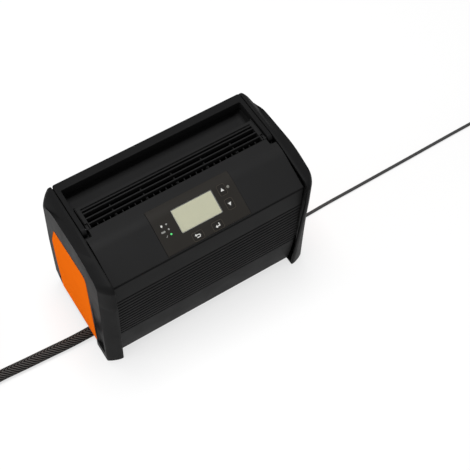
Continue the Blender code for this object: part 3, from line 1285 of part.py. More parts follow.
def coil_ring(name, centre, middle_diameter, diameter, wide, high, finish):
    """The closed outer shape of a coil: a turned ring, some turns wide and high."""
    inner = middle_diameter / 2 - wide * diameter / 2
    outer = middle_diameter / 2 + wide * diameter / 2
    low, top = 0.0002, 0.0002 + high * diameter
    section = fillet([(inner, low, diameter * 0.3, 1), (outer, low, diameter * 0.3, 1),
                      (outer, top, diameter * 0.3, 1), (inner, top, diameter * 0.3, 1)])
    ring = bmesh.new()
    count = 16 + round(middle_diameter * 64)
    loops = []
    for i in range(count):
        angle = 2 * math.pi * i / count
        loops.append(add_ring(ring, [
            (centre[0] + r * math.cos(angle), centre[1] + r * math.sin(angle), z) for r, z in section]))
    for i in range(count):
        bridge(ring, loops[i], loops[(i + 1) % count])
    made = make_object(name, ring, finish)
    smooth(made)
    return made


def battery_connector():
    """A generic two-pole connector on the end of the battery cable, inside its coil."""
    x, y = BATTERY_COIL_CENTRE[0] + 0.0500, BATTERY_COIL_CENTRE[1] - 0.0138
    width, length, height = 0.034, 0.050, 0.017
    housing = make_object("battery_connector", new_mesh(
        (add_box, (x - width / 2, y - length / 2, 0.0002), (x + width / 2, y + length / 2, 0.0002 + height))), FILM)
    soften(housing, 0.002, 2, 60)
    mouths = bmesh.new()
    for dx in (-1, 1):
        add_box(mouths, (x + dx * width / 4 - 0.006, y - length / 2 - 0.01, 0.0002 + height / 2 - 0.0045),
                (x + dx * width / 4 + 0.006, y - length / 2 + 0.016, 0.0002 + height / 2 + 0.0045))
    subtract(housing, cutter("connector_mouths", mouths))
    return housing


def mains_plug():
    """A generic flat two-pin plug, which lies across its cord's coil."""
    thickness, width, neck_length, body_length, pin_spread = 0.014, 0.027, 0.016, 0.032, 0.0095
    middle_z = 0.0002 + 2 * MAINS_CORD_DIAMETER + GAP + thickness / 2
    outer_turn = MAINS_COIL_DIAMETER / 2 + 1.5 * MAINS_CORD_DIAMETER
    leaves_at = math.radians(-30)
    out = Vector((math.cos(leaves_at), math.sin(leaves_at), 0))
    along = Vector((out.y, -out.x, 0))
    start = Vector((*MAINS_COIL_CENTRE, middle_z)) + out * (outer_turn - MAINS_PLUG_BEND) \
        + along * MAINS_PLUG_BEND
    place = Matrix.Translation(start) @ Matrix((
        (-along.x, -out.x, 0, 0), (-along.y, -out.y, 0, 0), (0, 0, 1, 0), (0, 0, 0, 1)))
    outline = fillet([
        (-0.0035, 0, 0, 1), (0.0035, 0, 0, 1), (0.0045, neck_length, 0, 1),
        (width / 2, neck_length + 0.008, 0.004, 2), (width / 2, neck_length + body_length, 0.002, 2),
        (-width / 2, neck_length + body_length, 0.002, 2), (-width / 2, neck_length + 0.008, 0.004, 2),
        (-0.0045, neck_length, 0, 1)])
    body_mesh = new_mesh((add_prism, outline, -thickness / 2, thickness / 2, "Z"))
    body_mesh.transform(place)
    body = make_object("mains_plug", body_mesh, RUBBER)
    neck_cuts = new_mesh(
        (add_box, (-0.006, -0.001, 0.0036), (0.006, neck_length, 0.01)),
        (add_box, (-0.006, -0.001, -0.01), (0.006, neck_length, -0.0036)))
    neck_cuts.transform(place)
    subtract(body, cutter("plug_neck_sides", neck_cuts))
    end = neck_length + body_length
    sockets = bmesh.new()
    pins = []
    for k, side in enumerate((-1, 1)):
        add_cylinder(sockets, (side * pin_spread, end - 0.010, 0), (0, 1, 0), 0.02, 0.002 + GAP, 12)
        pin = new_mesh((add_turned, (side * pin_spread, end - 0.010 + GAP, 0), (0, 1, 0),
                        ((0, 0.002), (0.0275, 0.002), (0.029, 0.0012)), 12))
        pin.transform(place)
        pins.append(make_object(f"mains_plug_pin_{k + 1}", pin, STEEL))
    sockets.transform(place)
    subtract(body, cutter("plug_sockets", sockets))
    return [body, *pins]


# Assembly

def clear_scene():
    for old in list(bpy.data.objects):
        bpy.data.objects.remove(old, do_unlink=True)


def empty(name, place, parent=None):
    made = bpy.data.objects.new(name, None)
    made.location = place
    made.empty_display_size = 0.02
    bpy.context.scene.collection.objects.link(made)
    attach(made, parent)
    return made


def attach(child, parent):
    """Parents a piece and keeps it where it is."""
    if parent is None:
        return
    bpy.context.view_layer.update()
    child.parent = parent
    child.matrix_parent_inverse = parent.matrix_world.inverted()


def build():
    clear_scene()
    charger = empty("charger", (0, 0, 0))
    handle_axis = empty("handle_axis", (0, HANDLE_PIVOT_Y, PIVOT_Z), charger)

    pieces = [body_top_shell(), body_front_panel(), body_rear_cover(), body_base_plate()]
    pieces += [vent_grille(), control_overlay(), display_window(), lcd_module(), display_board()]
    for side, word in ((-1, "left"), (1, "right")):
        pieces += [end_frame(side, f"end_frame_{word}"), end_cap(side, f"end_cap_{word}"),
                   side_plate(side, f"side_plate_{word}")]
        for k, (y, z) in enumerate(CAP_SCREW_PLACES):
            head_x = side * (screw_head_x(z) + GAP)
            pieces.append(screw(f"cap_screw_{word}_{k + 1}", (head_x, y, z), (side, 0, 0),
                                screw_head_x(z) + GAP - FRAME_INNER_X + 0.002,
                                CAP_SCREW_RADIUS, CAP_SCREW_HEAD_RADIUS))
    for k, (x, z) in enumerate(REAR_SCREW_PLACES):
        pieces.append(screw(f"rear_screw_{k + 1}", (x, BODY_BACK_Y - 0.0012 + GAP, z), (0, 1, 0), 0.009,
                            REAR_SCREW_RADIUS, REAR_SCREW_HEAD_RADIUS))
    for name, (x, along, size) in KEY_PLACES.items():
        pieces.append(control_key(name, x, along, size))
    for name, (x, along, radius) in INDICATOR_PLACES.items():
        pieces.append(indicator(name, x, along, radius))

    pieces += [main_board(), *transformer(), inductor(), terminal_block()]
    pieces += [heat_sink("heat_sink_left", TERMINAL_X + COMPONENT_CLEARANCE * 2, CHOKE_X - COMPONENT_CLEARANCE,
                         -0.048, 0.050, 6),
               heat_sink("heat_sink_right", CHOKE_X + CHOKE_RADIUS + COMPONENT_CLEARANCE, MAIN_BOARD_X - 0.003,
                         0.030, 0.060, 7)]
    pieces += [capacitor("capacitor_1", CAPACITOR_X, -0.034), capacitor("capacitor_2", CAPACITOR_X, 0.004)]
    pieces += fan()
    pieces += [relief("battery_relief", -1, BATTERY_LEAD_Z, BATTERY_NECK_RADIUS,
                      BATTERY_CABLE_DIAMETER / 2, BATTERY_RELIEF_LENGTH, RUBBER),
               relief("mains_relief", 1, MAINS_LEAD_Z, MAINS_NECK_RADIUS,
                      MAINS_CORD_DIAMETER / 2, MAINS_RELIEF_LENGTH, RUBBER)]
    pieces += [cord_tube("battery_cable", BATTERY_ROUTE, BATTERY_CABLE_DIAMETER, BRAID, 3),
               cord_tube("mains_cord", MAINS_ROUTE, MAINS_CORD_DIAMETER, CORD),
               coil_ring("battery_cable_coil", BATTERY_COIL_CENTRE, BATTERY_COIL_DIAMETER,
                         BATTERY_CABLE_DIAMETER, 2, 2, BRAID),
               coil_ring("mains_cord_coil", MAINS_COIL_CENTRE, MAINS_COIL_DIAMETER,
                         MAINS_CORD_DIAMETER, 4, 2, CORD),
               battery_connector(), *mains_plug()]
    for piece in pieces:
        attach(piece, charger)

    moving = [carry_handle(), handle_pin(-1, "handle_pin_left"), handle_pin(1, "handle_pin_right")]
    turn_about(moving[0], handle_axis.location)
    for piece in moving:
        attach(piece, handle_axis)


build()
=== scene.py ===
"""The looks of an automatic battery charger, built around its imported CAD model."""

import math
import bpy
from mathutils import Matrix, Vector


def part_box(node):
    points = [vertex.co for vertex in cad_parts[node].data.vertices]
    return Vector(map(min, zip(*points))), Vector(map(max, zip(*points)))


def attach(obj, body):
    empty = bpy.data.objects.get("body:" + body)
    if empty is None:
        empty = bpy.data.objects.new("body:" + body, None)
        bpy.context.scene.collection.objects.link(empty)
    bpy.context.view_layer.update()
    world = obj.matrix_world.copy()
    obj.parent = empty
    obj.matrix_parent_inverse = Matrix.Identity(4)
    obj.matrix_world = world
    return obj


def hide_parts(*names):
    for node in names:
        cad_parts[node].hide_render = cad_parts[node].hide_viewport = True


bl_info = {
    "name": "Battery Charger",
    "version": (1, 0, 0),
    "blender": (4, 5, 0),
    "location": "View3D > Sidebar > Charger",
    "description": "Builds the looks of a workshop battery charger around its CAD model",
    "category": "Object",
}

import bmesh
import bpy
from bpy.props import FloatProperty, FloatVectorProperty, IntProperty, PointerProperty
from mathutils import Matrix, Vector

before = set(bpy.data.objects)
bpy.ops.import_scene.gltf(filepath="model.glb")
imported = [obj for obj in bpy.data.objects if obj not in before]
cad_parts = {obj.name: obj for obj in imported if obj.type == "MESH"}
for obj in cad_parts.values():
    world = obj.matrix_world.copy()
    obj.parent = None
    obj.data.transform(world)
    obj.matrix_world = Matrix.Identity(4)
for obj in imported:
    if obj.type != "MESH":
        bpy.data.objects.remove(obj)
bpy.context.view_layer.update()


# The leads' routes, as the CAD source gives them

BATTERY_EXIT = (-0.1636, -0.0200, 0.0094)
BATTERY_REST_Z = 0.00795
BATTERY_ROUTE = (
    BATTERY_EXIT, (-0.172, -0.0200, 0.0094), (-0.200, -0.0190, BATTERY_REST_Z),
    (-0.232, -0.0172, BATTERY_REST_Z), (-0.265, -0.0155, BATTERY_REST_Z), (-0.300, -0.0133, BATTERY_REST_Z),
    (-0.314, -0.0132, BATTERY_REST_Z), (-0.3288, -0.0144, BATTERY_REST_Z),
)
BATTERY_COIL_CENTRE = (-0.4005, 0.0754)
BATTERY_COIL_DIAMETER = 0.186
MAINS_EXIT = (0.1676, -0.0200, 0.0080)
MAINS_REST_Z = 0.0027
MAINS_ROUTE = (
    MAINS_EXIT, (0.172, -0.0200, 0.0072), (0.190, -0.0192, 0.0040),
    (0.210, -0.0185, MAINS_REST_Z), (0.250, -0.0174, MAINS_REST_Z), (0.300, -0.0170, MAINS_REST_Z),
    (0.350, -0.0165, MAINS_REST_Z), (0.400, -0.0160, MAINS_REST_Z), (0.450, -0.0153, MAINS_REST_Z),
    (0.500, -0.0147, MAINS_REST_Z), (0.535, -0.0145, MAINS_REST_Z), (0.5601, -0.0145, MAINS_REST_Z),
)
MAINS_COIL_CENTRE = (0.5805, -0.052)
MAINS_COIL_DIAMETER = 0.060
MAINS_PLUG_BEND = 0.014
MAINS_PLUG_Z = 0.0175
TURN_CLEARANCE = 1.01
BRAID_TURN = 0.10
BRAID_SLANT = 5.6


# Sizes of the housing and the panel, as the CAD source gives them

HALF_LENGTH = 0.166
HEIGHT = 0.239
FRONT_Y, BACK_Y = -0.087, 0.087
SIDE_EDGE_Y = FRONT_Y + 0.019
RIM_X = 0.143
CAP_BAND = 0.0035
CAP_WALL = 0.003
CAP_SIDE_WALL = 0.0062
CAP_LEAN = 0.0227
PLATE_PROUD = 0.0006
PLATE_THICKNESS = 0.003
PLATE_EDGE_GAP = 0.0004
LEAD_Y = -0.020
OUTLET_WIDTH = 0.021
OUTLET_HEIGHT = 0.0176
FOOT_THICKNESS = 0.005
BOSS_RADIUS = 0.0045
BOSS_START_X = 0.1410
CAP_SCREW_PLACES = ((-0.016, 0.162), (0.046, 0.158), (0.066, 0.036))
PANEL_ANGLE = math.radians(23)
PANEL_FOOT = Vector((0.0, -0.079, 0.2139))
PANEL_UP = Vector((0.0, math.cos(PANEL_ANGLE), math.sin(PANEL_ANGLE)))
PANEL_OUT = Vector((0.0, -math.sin(PANEL_ANGLE), math.cos(PANEL_ANGLE)))
KEY_PLACES = {
    "key_up": (0.0424, 0.046), "key_down": (0.0428, 0.0255), "key_back": (-0.0145, 0.0082),
    "key_enter": (0.0147, 0.0082),
}
TALL_KEY_SIZE = (0.0105, 0.0142)
WIDE_KEY_SIZE = (0.0148, 0.0108)


# Sizes of the looks alone: the caps' feet and hollows follow the photograph

FOOT_FRONT_END_Y = -0.0385
FOOT_BACK_START_Y = 0.058
FOOT_INSET_X = 0.1552
FOOT_TOP_Z = 0.030
SKIRT_BACK_Z = 0.036
SCOOP_DEPTH = 0.0046
CAP_FULLNESS = 2 / 1.3
CAP_STEPS = 10
SCREW_HOLE_RADIUS = 0.0018
SCREW_SEAT_RADIUS = 0.0033
FILM_TOP = 0.00021
KEY_TOP = 0.00031
INK = 0.00008
DUST_SCREEN_SIZE = (0.102, 0.112)
DUST_SCREEN_MIDDLE = (0.071, 0.106)
DUST_SCREEN_FACES_Y = (0.0799, 0.0807)
MERGE_DISTANCE = 0.00002
FLOOR_CLEARANCE = 0.0002


# The studio

CAMERA_PLACE = (-0.33910, -0.61908, 1.29381)
CAMERA_TURN = (30.633, 0.563, -31.458)
CAMERA_SHIFT_X = 0.08086
SENSOR_WIDTH = 36.0
FLOOR_SIZE = 12.0
LAMP_TARGET = Vector((0, 0, 0.1))
KEY_LAMP_PLACE = (0.0, 0.12, 2.2)
SIDE_LAMP_PLACE = (-1.6, 0.25, 0.8)


# The body that each moving piece rides on

NODE_BODIES = {
    "carry_handle": "handle", "key_up": "up_key", "key_down": "down_key", "key_back": "back_key",
    "key_enter": "enter_key", "fan_rotor": "fan",
}


# Settings that a user would change

class CabinetSettings(bpy.types.PropertyGroup):
    """The moulded housing"""
    plastic_colour: FloatVectorProperty(
        name="Plastic", description="Colour of the black mouldings", subtype="COLOR", size=3,
        min=0.0, max=1.0, default=(0.0158, 0.0158, 0.0160))
    # Painted shade: the caps and the handle get a darker copy of the black plastic, standing for the shade
    # that falls on them
    cap_shaded_colour: FloatVectorProperty(
        name="Caps and handle", description="Colour of the end caps and the carry handle", subtype="COLOR",
        size=3, min=0.0, max=1.0, default=(0.0105, 0.0105, 0.0107))
    plate_colour: FloatVectorProperty(
        name="Side plates", description="Colour of the two side plates", subtype="COLOR", size=3,
        min=0.0, max=1.0, default=(1.0, 0.172, 0.007))
    grain_size: FloatProperty(
        name="Grain", description="Width of the mouldings' fine grain", subtype="DISTANCE",
        min=0.0001, max=0.005, default=0.0006)


class LeadSettings(bpy.types.PropertyGroup):
    """The battery cable and the mains cord"""
    cable_diameter: FloatProperty(
        name="Battery cable", description="Diameter of the braided battery cable", subtype="DISTANCE",
        min=0.005, max=0.03, default=0.0155)
    cord_diameter: FloatProperty(
        name="Mains cord", description="Diameter of the mains cord", subtype="DISTANCE",
        min=0.003, max=0.012, default=0.005)
    braid_pitch: FloatProperty(
        name="Braid pitch", description="Length of one stitch of the braid along the cable",
        subtype="DISTANCE", min=0.001, max=0.02, default=0.0046)
    braid_columns: IntProperty(
        name="Braid columns", description="Columns of stitches around the cable", min=2, max=16, default=2)
    sleeve_colour: FloatVectorProperty(
        name="Sleeve", description="Colour of the braided sleeve's strands", subtype="COLOR", size=3,
        min=0.0, max=1.0, default=(0.066, 0.063, 0.060))


class StudioSettings(bpy.types.PropertyGroup):
    """The floor, the light and the camera"""
    floor_colour: FloatVectorProperty(
        name="Floor", description="Colour of the floor", subtype="COLOR", size=3,
        min=0.0, max=1.0, default=(0.92, 0.92, 0.92))
    surround_light: FloatProperty(
        name="Surround", description="Strength of the even light from all round",
        min=0.0, max=3.0, default=0.35)
    key_light: FloatProperty(
        name="Key light", description="Power of the large lamp above the charger", subtype="POWER",
        min=0.0, max=500.0, default=40.0)
    side_light: FloatProperty(
        name="Side light", description="Power of the soft lamp on the left", subtype="POWER",
        min=0.0, max=500.0, default=7.0)
    lens: FloatProperty(
        name="Lens", description="Focal length of the camera on a 36 mm sensor, in millimetres",
        min=10.0, max=300.0, default=75.82)


# Helpers

def settings():
    scene = bpy.context.scene
    return scene.charger_cabinet, scene.charger_leads, scene.charger_studio


def deselect():
    """Clears the selection, because the operators act on all that is selected."""
    if bpy.context.mode != "OBJECT":
        bpy.ops.object.mode_set(mode="OBJECT")
    bpy.ops.object.select_all(action="DESELECT")


def select_only(piece):
    deselect()
    piece.select_set(True)
    bpy.context.view_layer.objects.active = piece


def node_tree(name):
    """A new material with its tree and its Principled shader."""
    made = bpy.data.materials.new(name)
    made.use_nodes = True
    return made, made.node_tree, made.node_tree.nodes["Principled BSDF"]


def add_node(tree, kind, **inputs):
    """Adds a shader node. Keys that name an input set it, and the rest set the node's own options."""
    node = tree.nodes.new(kind)
    for key, value in inputs.items():
        label = key.replace("_", " ")
        if label in node.inputs:
            node.inputs[label].default_value = value
        else:
            setattr(node, key, value)
    return node


def join(tree, *pairs):
    for source, target in pairs:
        tree.links.new(source, target)


def math_node(tree, operation, first, second=None):
    """A Math node on two values, each a number or another node's output."""
    node = tree.nodes.new("ShaderNodeMath")
    node.operation = operation
    for socket, value in zip(node.inputs, (first, second)):
        if isinstance(value, bpy.types.NodeSocket):
            tree.links.new(value, socket)
        elif value is not None:
            socket.default_value = value
    return node.outputs[0]


def smooth_shading(piece, angle=34):
    """Smooth faces with sharp edges past an angle, and flat faces that stay flat."""
    select_only(piece)
    bpy.ops.object.shade_smooth_by_angle(angle=math.radians(angle))
    shading = piece.modifiers.new("even shading", "WEIGHTED_NORMAL")
    shading.keep_sharp = True
    shading.weight = 60
    bpy.ops.object.modifier_apply(modifier=shading.name)


def round_edges(piece, width, angle=30):
    select_only(piece)
    edges = piece.modifiers.new("soft edges", "BEVEL")
    edges.width = width
    edges.segments = 2
    edges.limit_method = "ANGLE"
    edges.angle_limit = math.radians(angle)
    edges.use_clamp_overlap = False
    bpy.ops.object.modifier_apply(modifier=edges.name)


def softened(node, width):
    """A copy of a CAD piece with its facets joined and its edges rounded, which then stands for it."""
    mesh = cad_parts[node].data.copy()
    piece = bpy.data.objects.new(f"{node}_soft", mesh)
    bpy.context.scene.collection.objects.link(piece)
    select_only(piece)
    bpy.ops.object.mode_set(mode="EDIT")
    bpy.ops.mesh.select_all(action="SELECT")
    bpy.ops.mesh.remove_doubles(threshold=MERGE_DISTANCE)
    bpy.ops.object.mode_set(mode="OBJECT")
    round_edges(piece, width)
    smooth_shading(piece)
    return piece


def stand_in(piece, node, finish):
    """The piece rides where the CAD node does, stands for it and takes the finish."""
    dress(piece, finish)
    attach(piece, NODE_BODIES.get(node, "charger"))
    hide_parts(node)
    return piece


def dress(piece, finish):
    piece.data.materials.clear()
    piece.data.materials.append(finish)


def dress_nodes(finish, *nodes):
    for node in nodes:
        dress(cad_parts[node], finish)


def soften_nodes(finish, width, *nodes):
    return [stand_in(softened(node, width), node, finish) for node in nodes]


def filleted(corners):
    """An outline with its corners rounded, each given as (a, b, radius, segments)."""
    points = []
    for i, (a, b, radius, segments) in enumerate(corners):
        here = Vector((a, b))
        if radius <= 0:
            points.append((a, b))
            continue
        before = (Vector(corners[i - 1][:2]) - here).normalized()
        after = (Vector(corners[(i + 1) % len(corners)][:2]) - here).normalized()
        half = before.angle(after) / 2
        middle = here + (before + after).normalized() * (radius / math.sin(half))
        start = here + before * (radius / math.tan(half)) - middle
        end = here + after * (radius / math.tan(half)) - middle
        sweep = math.atan2(start.x * end.y - start.y * end.x, start.dot(end))
        for k in range(segments + 1):
            turned = start.copy()
            turned.rotate(Matrix.Rotation(sweep * k / segments, 2))
            points.append(tuple(middle + turned))
    return points


def drawn_in(outline, distance):
    """The outline with every side moved inwards. Negative values grow it."""
    area = sum(a[0] * b[1] - b[0] * a[1] for a, b in zip(outline, outline[1:] + outline[:1]))
    side = 1 if area > 0 else -1
    points = []
    for i, point in enumerate(outline):
        here = Vector(point)
        along = (here - Vector(outline[i - 1])).normalized()
        onward = (Vector(outline[(i + 1) % len(outline)]) - here).normalized()
        first = Vector((-along.y, along.x)) * side
        second = Vector((-onward.y, onward.x)) * side
        middle = (first + second).normalized()
        points.append(tuple(here + middle * (distance / max(middle.dot(first), 0.3))))
    return points


def rounded_box(width, height, radius, segments=5, centre=(0.0, 0.0)):
    x, y = width / 2, height / 2
    return filleted([(centre[0] + a * x, centre[1] + b * y, radius, segments)
                     for a, b in ((-1, -1), (1, -1), (1, 1), (-1, 1))])


def first_ring(name, ring, fill, mode):
    """A circle brought to the ring's points, open for editing with all of it selected."""
    deselect()
    bpy.ops.mesh.primitive_circle_add(vertices=len(ring), radius=0.01, fill_type=fill)
    piece = bpy.context.active_object
    piece.name = name
    for vertex, point in zip(piece.data.vertices, ring):
        vertex.co = point
    bpy.ops.object.mode_set(mode="EDIT")
    bpy.ops.mesh.select_mode(type=mode)
    bpy.ops.mesh.select_all(action="SELECT")
    return piece


def next_ring(piece, last, ring):
    """Extrudes what is selected and brings each new point from the last ring to the next."""
    bpy.ops.mesh.extrude_region_move()
    shape = bmesh.from_edit_mesh(piece.data)
    for vertex in [v for v in shape.verts if v.select]:
        nearest = min(range(len(last)), key=lambda i: (vertex.co - Vector(last[i])).length_squared)
        vertex.co = ring[nearest]
    bmesh.update_edit_mesh(piece.data)


def face_outwards():
    """Turns every face of the edited piece outwards and closes the edit."""
    bpy.ops.mesh.select_all(action="SELECT")
    bpy.ops.mesh.normals_make_consistent(inside=False)
    bpy.ops.object.mode_set(mode="OBJECT")


def drawn_out(name, rings):
    """A closed solid drawn out of a flat face, ring after ring, all with as many points."""
    piece = first_ring(name, rings[0], "NGON", "FACE")
    for last, ring in zip(rings, rings[1:]):
        next_ring(piece, last, ring)
    face_outwards()
    return piece


def cut_away(piece, *tools, operation="DIFFERENCE"):
    """Cuts the tools out of the piece, or joins them to it, and removes them."""
    for tool in tools:
        select_only(piece)
        step = piece.modifiers.new("cut", "BOOLEAN")
        step.operation = operation
        step.solver = "EXACT"
        step.object = tool
        bpy.ops.object.modifier_apply(modifier=step.name)
        bpy.data.objects.remove(tool, do_unlink=True)


# Finishes

def object_place(tree):
    """The place on the piece itself, so that a finish stays put when the piece moves."""
    return add_node(tree, "ShaderNodeTexCoord").outputs["Object"]


def split_place(tree, place):
    """The three values of a place, which can be read in order or by name."""
    split = add_node(tree, "ShaderNodeSeparateXYZ")
    join(tree, (place, split.inputs[0]))
    return split.outputs


def sine_wave(tree, value, pitch):
    """A wave from -1 to 1 that repeats with the pitch."""
    return math_node(tree, "SINE", math_node(tree, "MULTIPLY", value, 2 * math.pi / pitch))


def as_share(tree, wave):
    """A wave from -1 to 1 brought between 0 and 1."""
    return math_node(tree, "ADD", math_node(tree, "MULTIPLY", wave, 0.5), 0.5)


def toned(colour, share):
    return [min(1.0, c * share) for c in colour]


def set_surface(shader, **values):
    """Sets the shader's own inputs, named with underscores for spaces."""
    for key, value in values.items():
        shader.inputs[key.replace("_", " ")].default_value = value


def shade_between(tree, shader, share, dark, light):
    """Runs the base colour from dark to light with the share."""
    tint = add_node(tree, "ShaderNodeMix", data_type="RGBA")
    tint.inputs["A"].default_value = (*dark, 1.0)
    tint.inputs["B"].default_value = (*light, 1.0)
    join(tree, (share, tint.inputs["Factor"]), (tint.outputs["Result"], shader.inputs["Base Color"]))


def raise_surface(tree, shader, height, strength, distance):
    """Lets the height stand out in the light, on top of the mesh's own shape."""
    bump = add_node(tree, "ShaderNodeBump", Strength=strength, Distance=distance)
    join(tree, (height, bump.inputs["Height"]), (bump.outputs["Normal"], shader.inputs["Normal"]))


def vary_gloss(tree, shader, value, low, high, start=0.0, end=1.0):
    """Runs the roughness from low to high as the value goes from start to end."""
    gloss = add_node(tree, "ShaderNodeMapRange", From_Min=start, From_Max=end, To_Min=low, To_Max=high)
    join(tree, (value, gloss.inputs["Value"]), (gloss.outputs["Result"], shader.inputs["Roughness"]))


def grained_finish(name, colour, roughness, grain_size, depth, shine=0.02, spread=0.06):
    """Moulded plastic: a fine grain in the surface and faint cloudiness in its gloss and colour."""
    made, tree, shader = node_tree(name)
    place = object_place(tree)
    grain = add_node(tree, "ShaderNodeTexNoise", Scale=1.0 / grain_size, Detail=2.0, Roughness=0.6)
    clouds = add_node(tree, "ShaderNodeTexNoise", Scale=28.0, Detail=4.0, Roughness=0.55)
    join(tree, (place, grain.inputs["Vector"]), (place, clouds.inputs["Vector"]))
    cloud = clouds.outputs["Fac"]
    raise_surface(tree, shader, grain.outputs["Fac"], 0.35, depth)
    vary_gloss(tree, shader, cloud, roughness - spread, roughness + spread, 0.25, 0.75)
    shade_between(tree, shader, cloud, toned(colour, 0.93), toned(colour, 1.07))
    set_surface(shader, Specular_IOR_Level=shine)
    return made


def metal_finish(name, colour, roughness):
    """Drawn or turned metal with fine streaks in its gloss."""
    made, tree, shader = node_tree(name)
    stretch = add_node(tree, "ShaderNodeMapping", Scale=(150.0, 1800.0, 1800.0))
    streaks = add_node(tree, "ShaderNodeTexNoise", Scale=1.0, Detail=3.0)
    join(tree, (object_place(tree), stretch.inputs["Vector"]),
         (stretch.outputs["Vector"], streaks.inputs["Vector"]))
    vary_gloss(tree, shader, streaks.outputs["Fac"], roughness * 0.7, roughness * 1.4)
    set_surface(shader, Base_Color=(*colour, 1.0), Metallic=1.0)
    return made


def braided_finish(name, colour, length, pitch, columns):
    """A woven sleeve: stitches in zigzag columns along the cable, read from the tube's own UV map."""
    made, tree, shader = node_tree(name)
    along, around, _ = split_place(tree, add_node(tree, "ShaderNodeTexCoord").outputs["UV"])
    turned = math_node(tree, "ADD", math_node(tree, "MULTIPLY", around, float(columns)), BRAID_TURN)
    column = math_node(tree, "FRACT", turned)
    zigzag = math_node(tree, "ABSOLUTE", math_node(tree, "SUBTRACT", column, 0.5))
    row = math_node(tree, "ADD", math_node(tree, "MULTIPLY", along, length / pitch),
                    math_node(tree, "MULTIPLY", zigzag, BRAID_SLANT))
    strand = as_share(tree, sine_wave(tree, row, 1.0))
    threads = add_node(tree, "ShaderNodeTexNoise", Scale=700.0, Detail=2.0)
    height = math_node(tree, "ADD", strand, math_node(tree, "MULTIPLY", threads.outputs["Fac"], 0.3))
    tint = add_node(tree, "ShaderNodeValToRGB")
    for k, (position, tone) in enumerate(((0.45, 0.06), (1.05, 1.15))):
        tint.color_ramp.elements[k].position = position
        tint.color_ramp.elements[k].color = (*toned(colour, tone), 1.0)
    join(tree, (object_place(tree), threads.inputs["Vector"]), (height, tint.inputs["Fac"]),
         (tint.outputs["Color"], shader.inputs["Base Color"]))
    raise_surface(tree, shader, height, 0.6, 0.0005)
    set_surface(shader, Roughness=0.62, Specular_IOR_Level=0.05)
    return made


def lens_finish(name, colour, glow=0.0):
    """A small moulded lens with a faint haze, with or without a lit lamp behind it."""
    made, tree, shader = node_tree(name)
    haze = add_node(tree, "ShaderNodeTexNoise", Scale=1600.0, Detail=1.0)
    join(tree, (object_place(tree), haze.inputs["Vector"]))
    shade_between(tree, shader, haze.outputs["Fac"], toned(colour, 0.85), colour)
    set_surface(shader, Roughness=0.3, Specular_IOR_Level=0.2, Emission_Color=(*colour, 1.0),
                Emission_Strength=glow)
    return made


def display_finish(name, colour):
    """The unlit display's grey-green, crossed by the hairlines between its dots."""
    made, tree, shader = node_tree(name)
    places = split_place(tree, object_place(tree))
    lines = []
    for axis, pitch in (("X", 0.0006), ("Y", 0.00055)):
        share = math_node(tree, "FRACT", math_node(tree, "MULTIPLY", places[axis], 1.0 / pitch))
        lines.append(math_node(tree, "GREATER_THAN", share, 0.86))
    shade_between(tree, shader, math_node(tree, "MAXIMUM", *lines), colour, toned(colour, 0.96))
    set_surface(shader, Roughness=0.5, Specular_IOR_Level=0.05)
    return made


def window_finish():
    """Clear plastic with the faint ripple of a moulded window."""
    made, tree, shader = node_tree("Clear window")
    ripple = add_node(tree, "ShaderNodeTexNoise", Scale=60.0, Detail=1.0)
    join(tree, (object_place(tree), ripple.inputs["Vector"]))
    vary_gloss(tree, shader, ripple.outputs["Fac"], 0.10, 0.16)
    set_surface(shader, Base_Color=(0.9, 0.92, 0.88, 1.0), Specular_IOR_Level=0.2, Alpha=0.08)
    return made


def wound_finish(name, colour, pitch):
    """Enamelled wire laid turn by turn: fine ridges across the winding's length."""
    made, tree, shader = node_tree(name)
    tone = as_share(tree, sine_wave(tree, split_place(tree, object_place(tree))["Z"], pitch))
    shade_between(tree, shader, tone, toned(colour, 0.45), colour)
    raise_surface(tree, shader, tone, 0.5, 0.0003)
    set_surface(shader, Metallic=0.8, Roughness=0.32)
    return made


def woven_screen_finish(name, colour, mesh_width):
    """A dust screen: dark threads woven both ways."""
    made, tree, shader = node_tree(name)
    places = split_place(tree, object_place(tree))
    waves = [sine_wave(tree, places[axis], mesh_width) for axis in ("X", "Z")]
    tone = as_share(tree, math_node(tree, "MULTIPLY", *waves))
    shade_between(tree, shader, tone, toned(colour, 0.5), colour)
    raise_surface(tree, shader, tone, 0.5, 0.0002)
    set_surface(shader, Roughness=0.8, Specular_IOR_Level=0.0)
    return made


# Leads

def smooth_route(points, spacing):
    """A Catmull-Rom curve through the route's points, read off at even distances."""
    points = [Vector(p) for p in points]
    rest = min(p.z for p in points)
    ends = [2 * points[0] - points[1], *points, 2 * points[-1] - points[-2]]
    fine = []
    for a, b, c, d in zip(ends, ends[1:], ends[2:], ends[3:]):
        for k in range(20):
            t = k / 20
            fine.append(0.5 * ((2 * b) + (c - a) * t + (2 * a - 5 * b + 4 * c - d) * t * t
                               + (3 * b - a - 3 * c + d) * t ** 3))
    fine.append(points[-1])
    lengths = [0.0]
    for a, b in zip(fine, fine[1:]):
        lengths.append(lengths[-1] + (b - a).length)
    count = max(2, round(lengths[-1] / spacing))
    read, i = [], 0
    for k in range(count + 1):
        target = lengths[-1] * k / count
        while i < len(fine) - 2 and lengths[i + 1] < target:
            i += 1
        share = (target - lengths[i]) / max(lengths[i + 1] - lengths[i], 1e-9)
        read.append(fine[i].lerp(fine[i + 1], min(1.0, share)))
        read[-1].z = max(read[-1].z, rest)
    return read


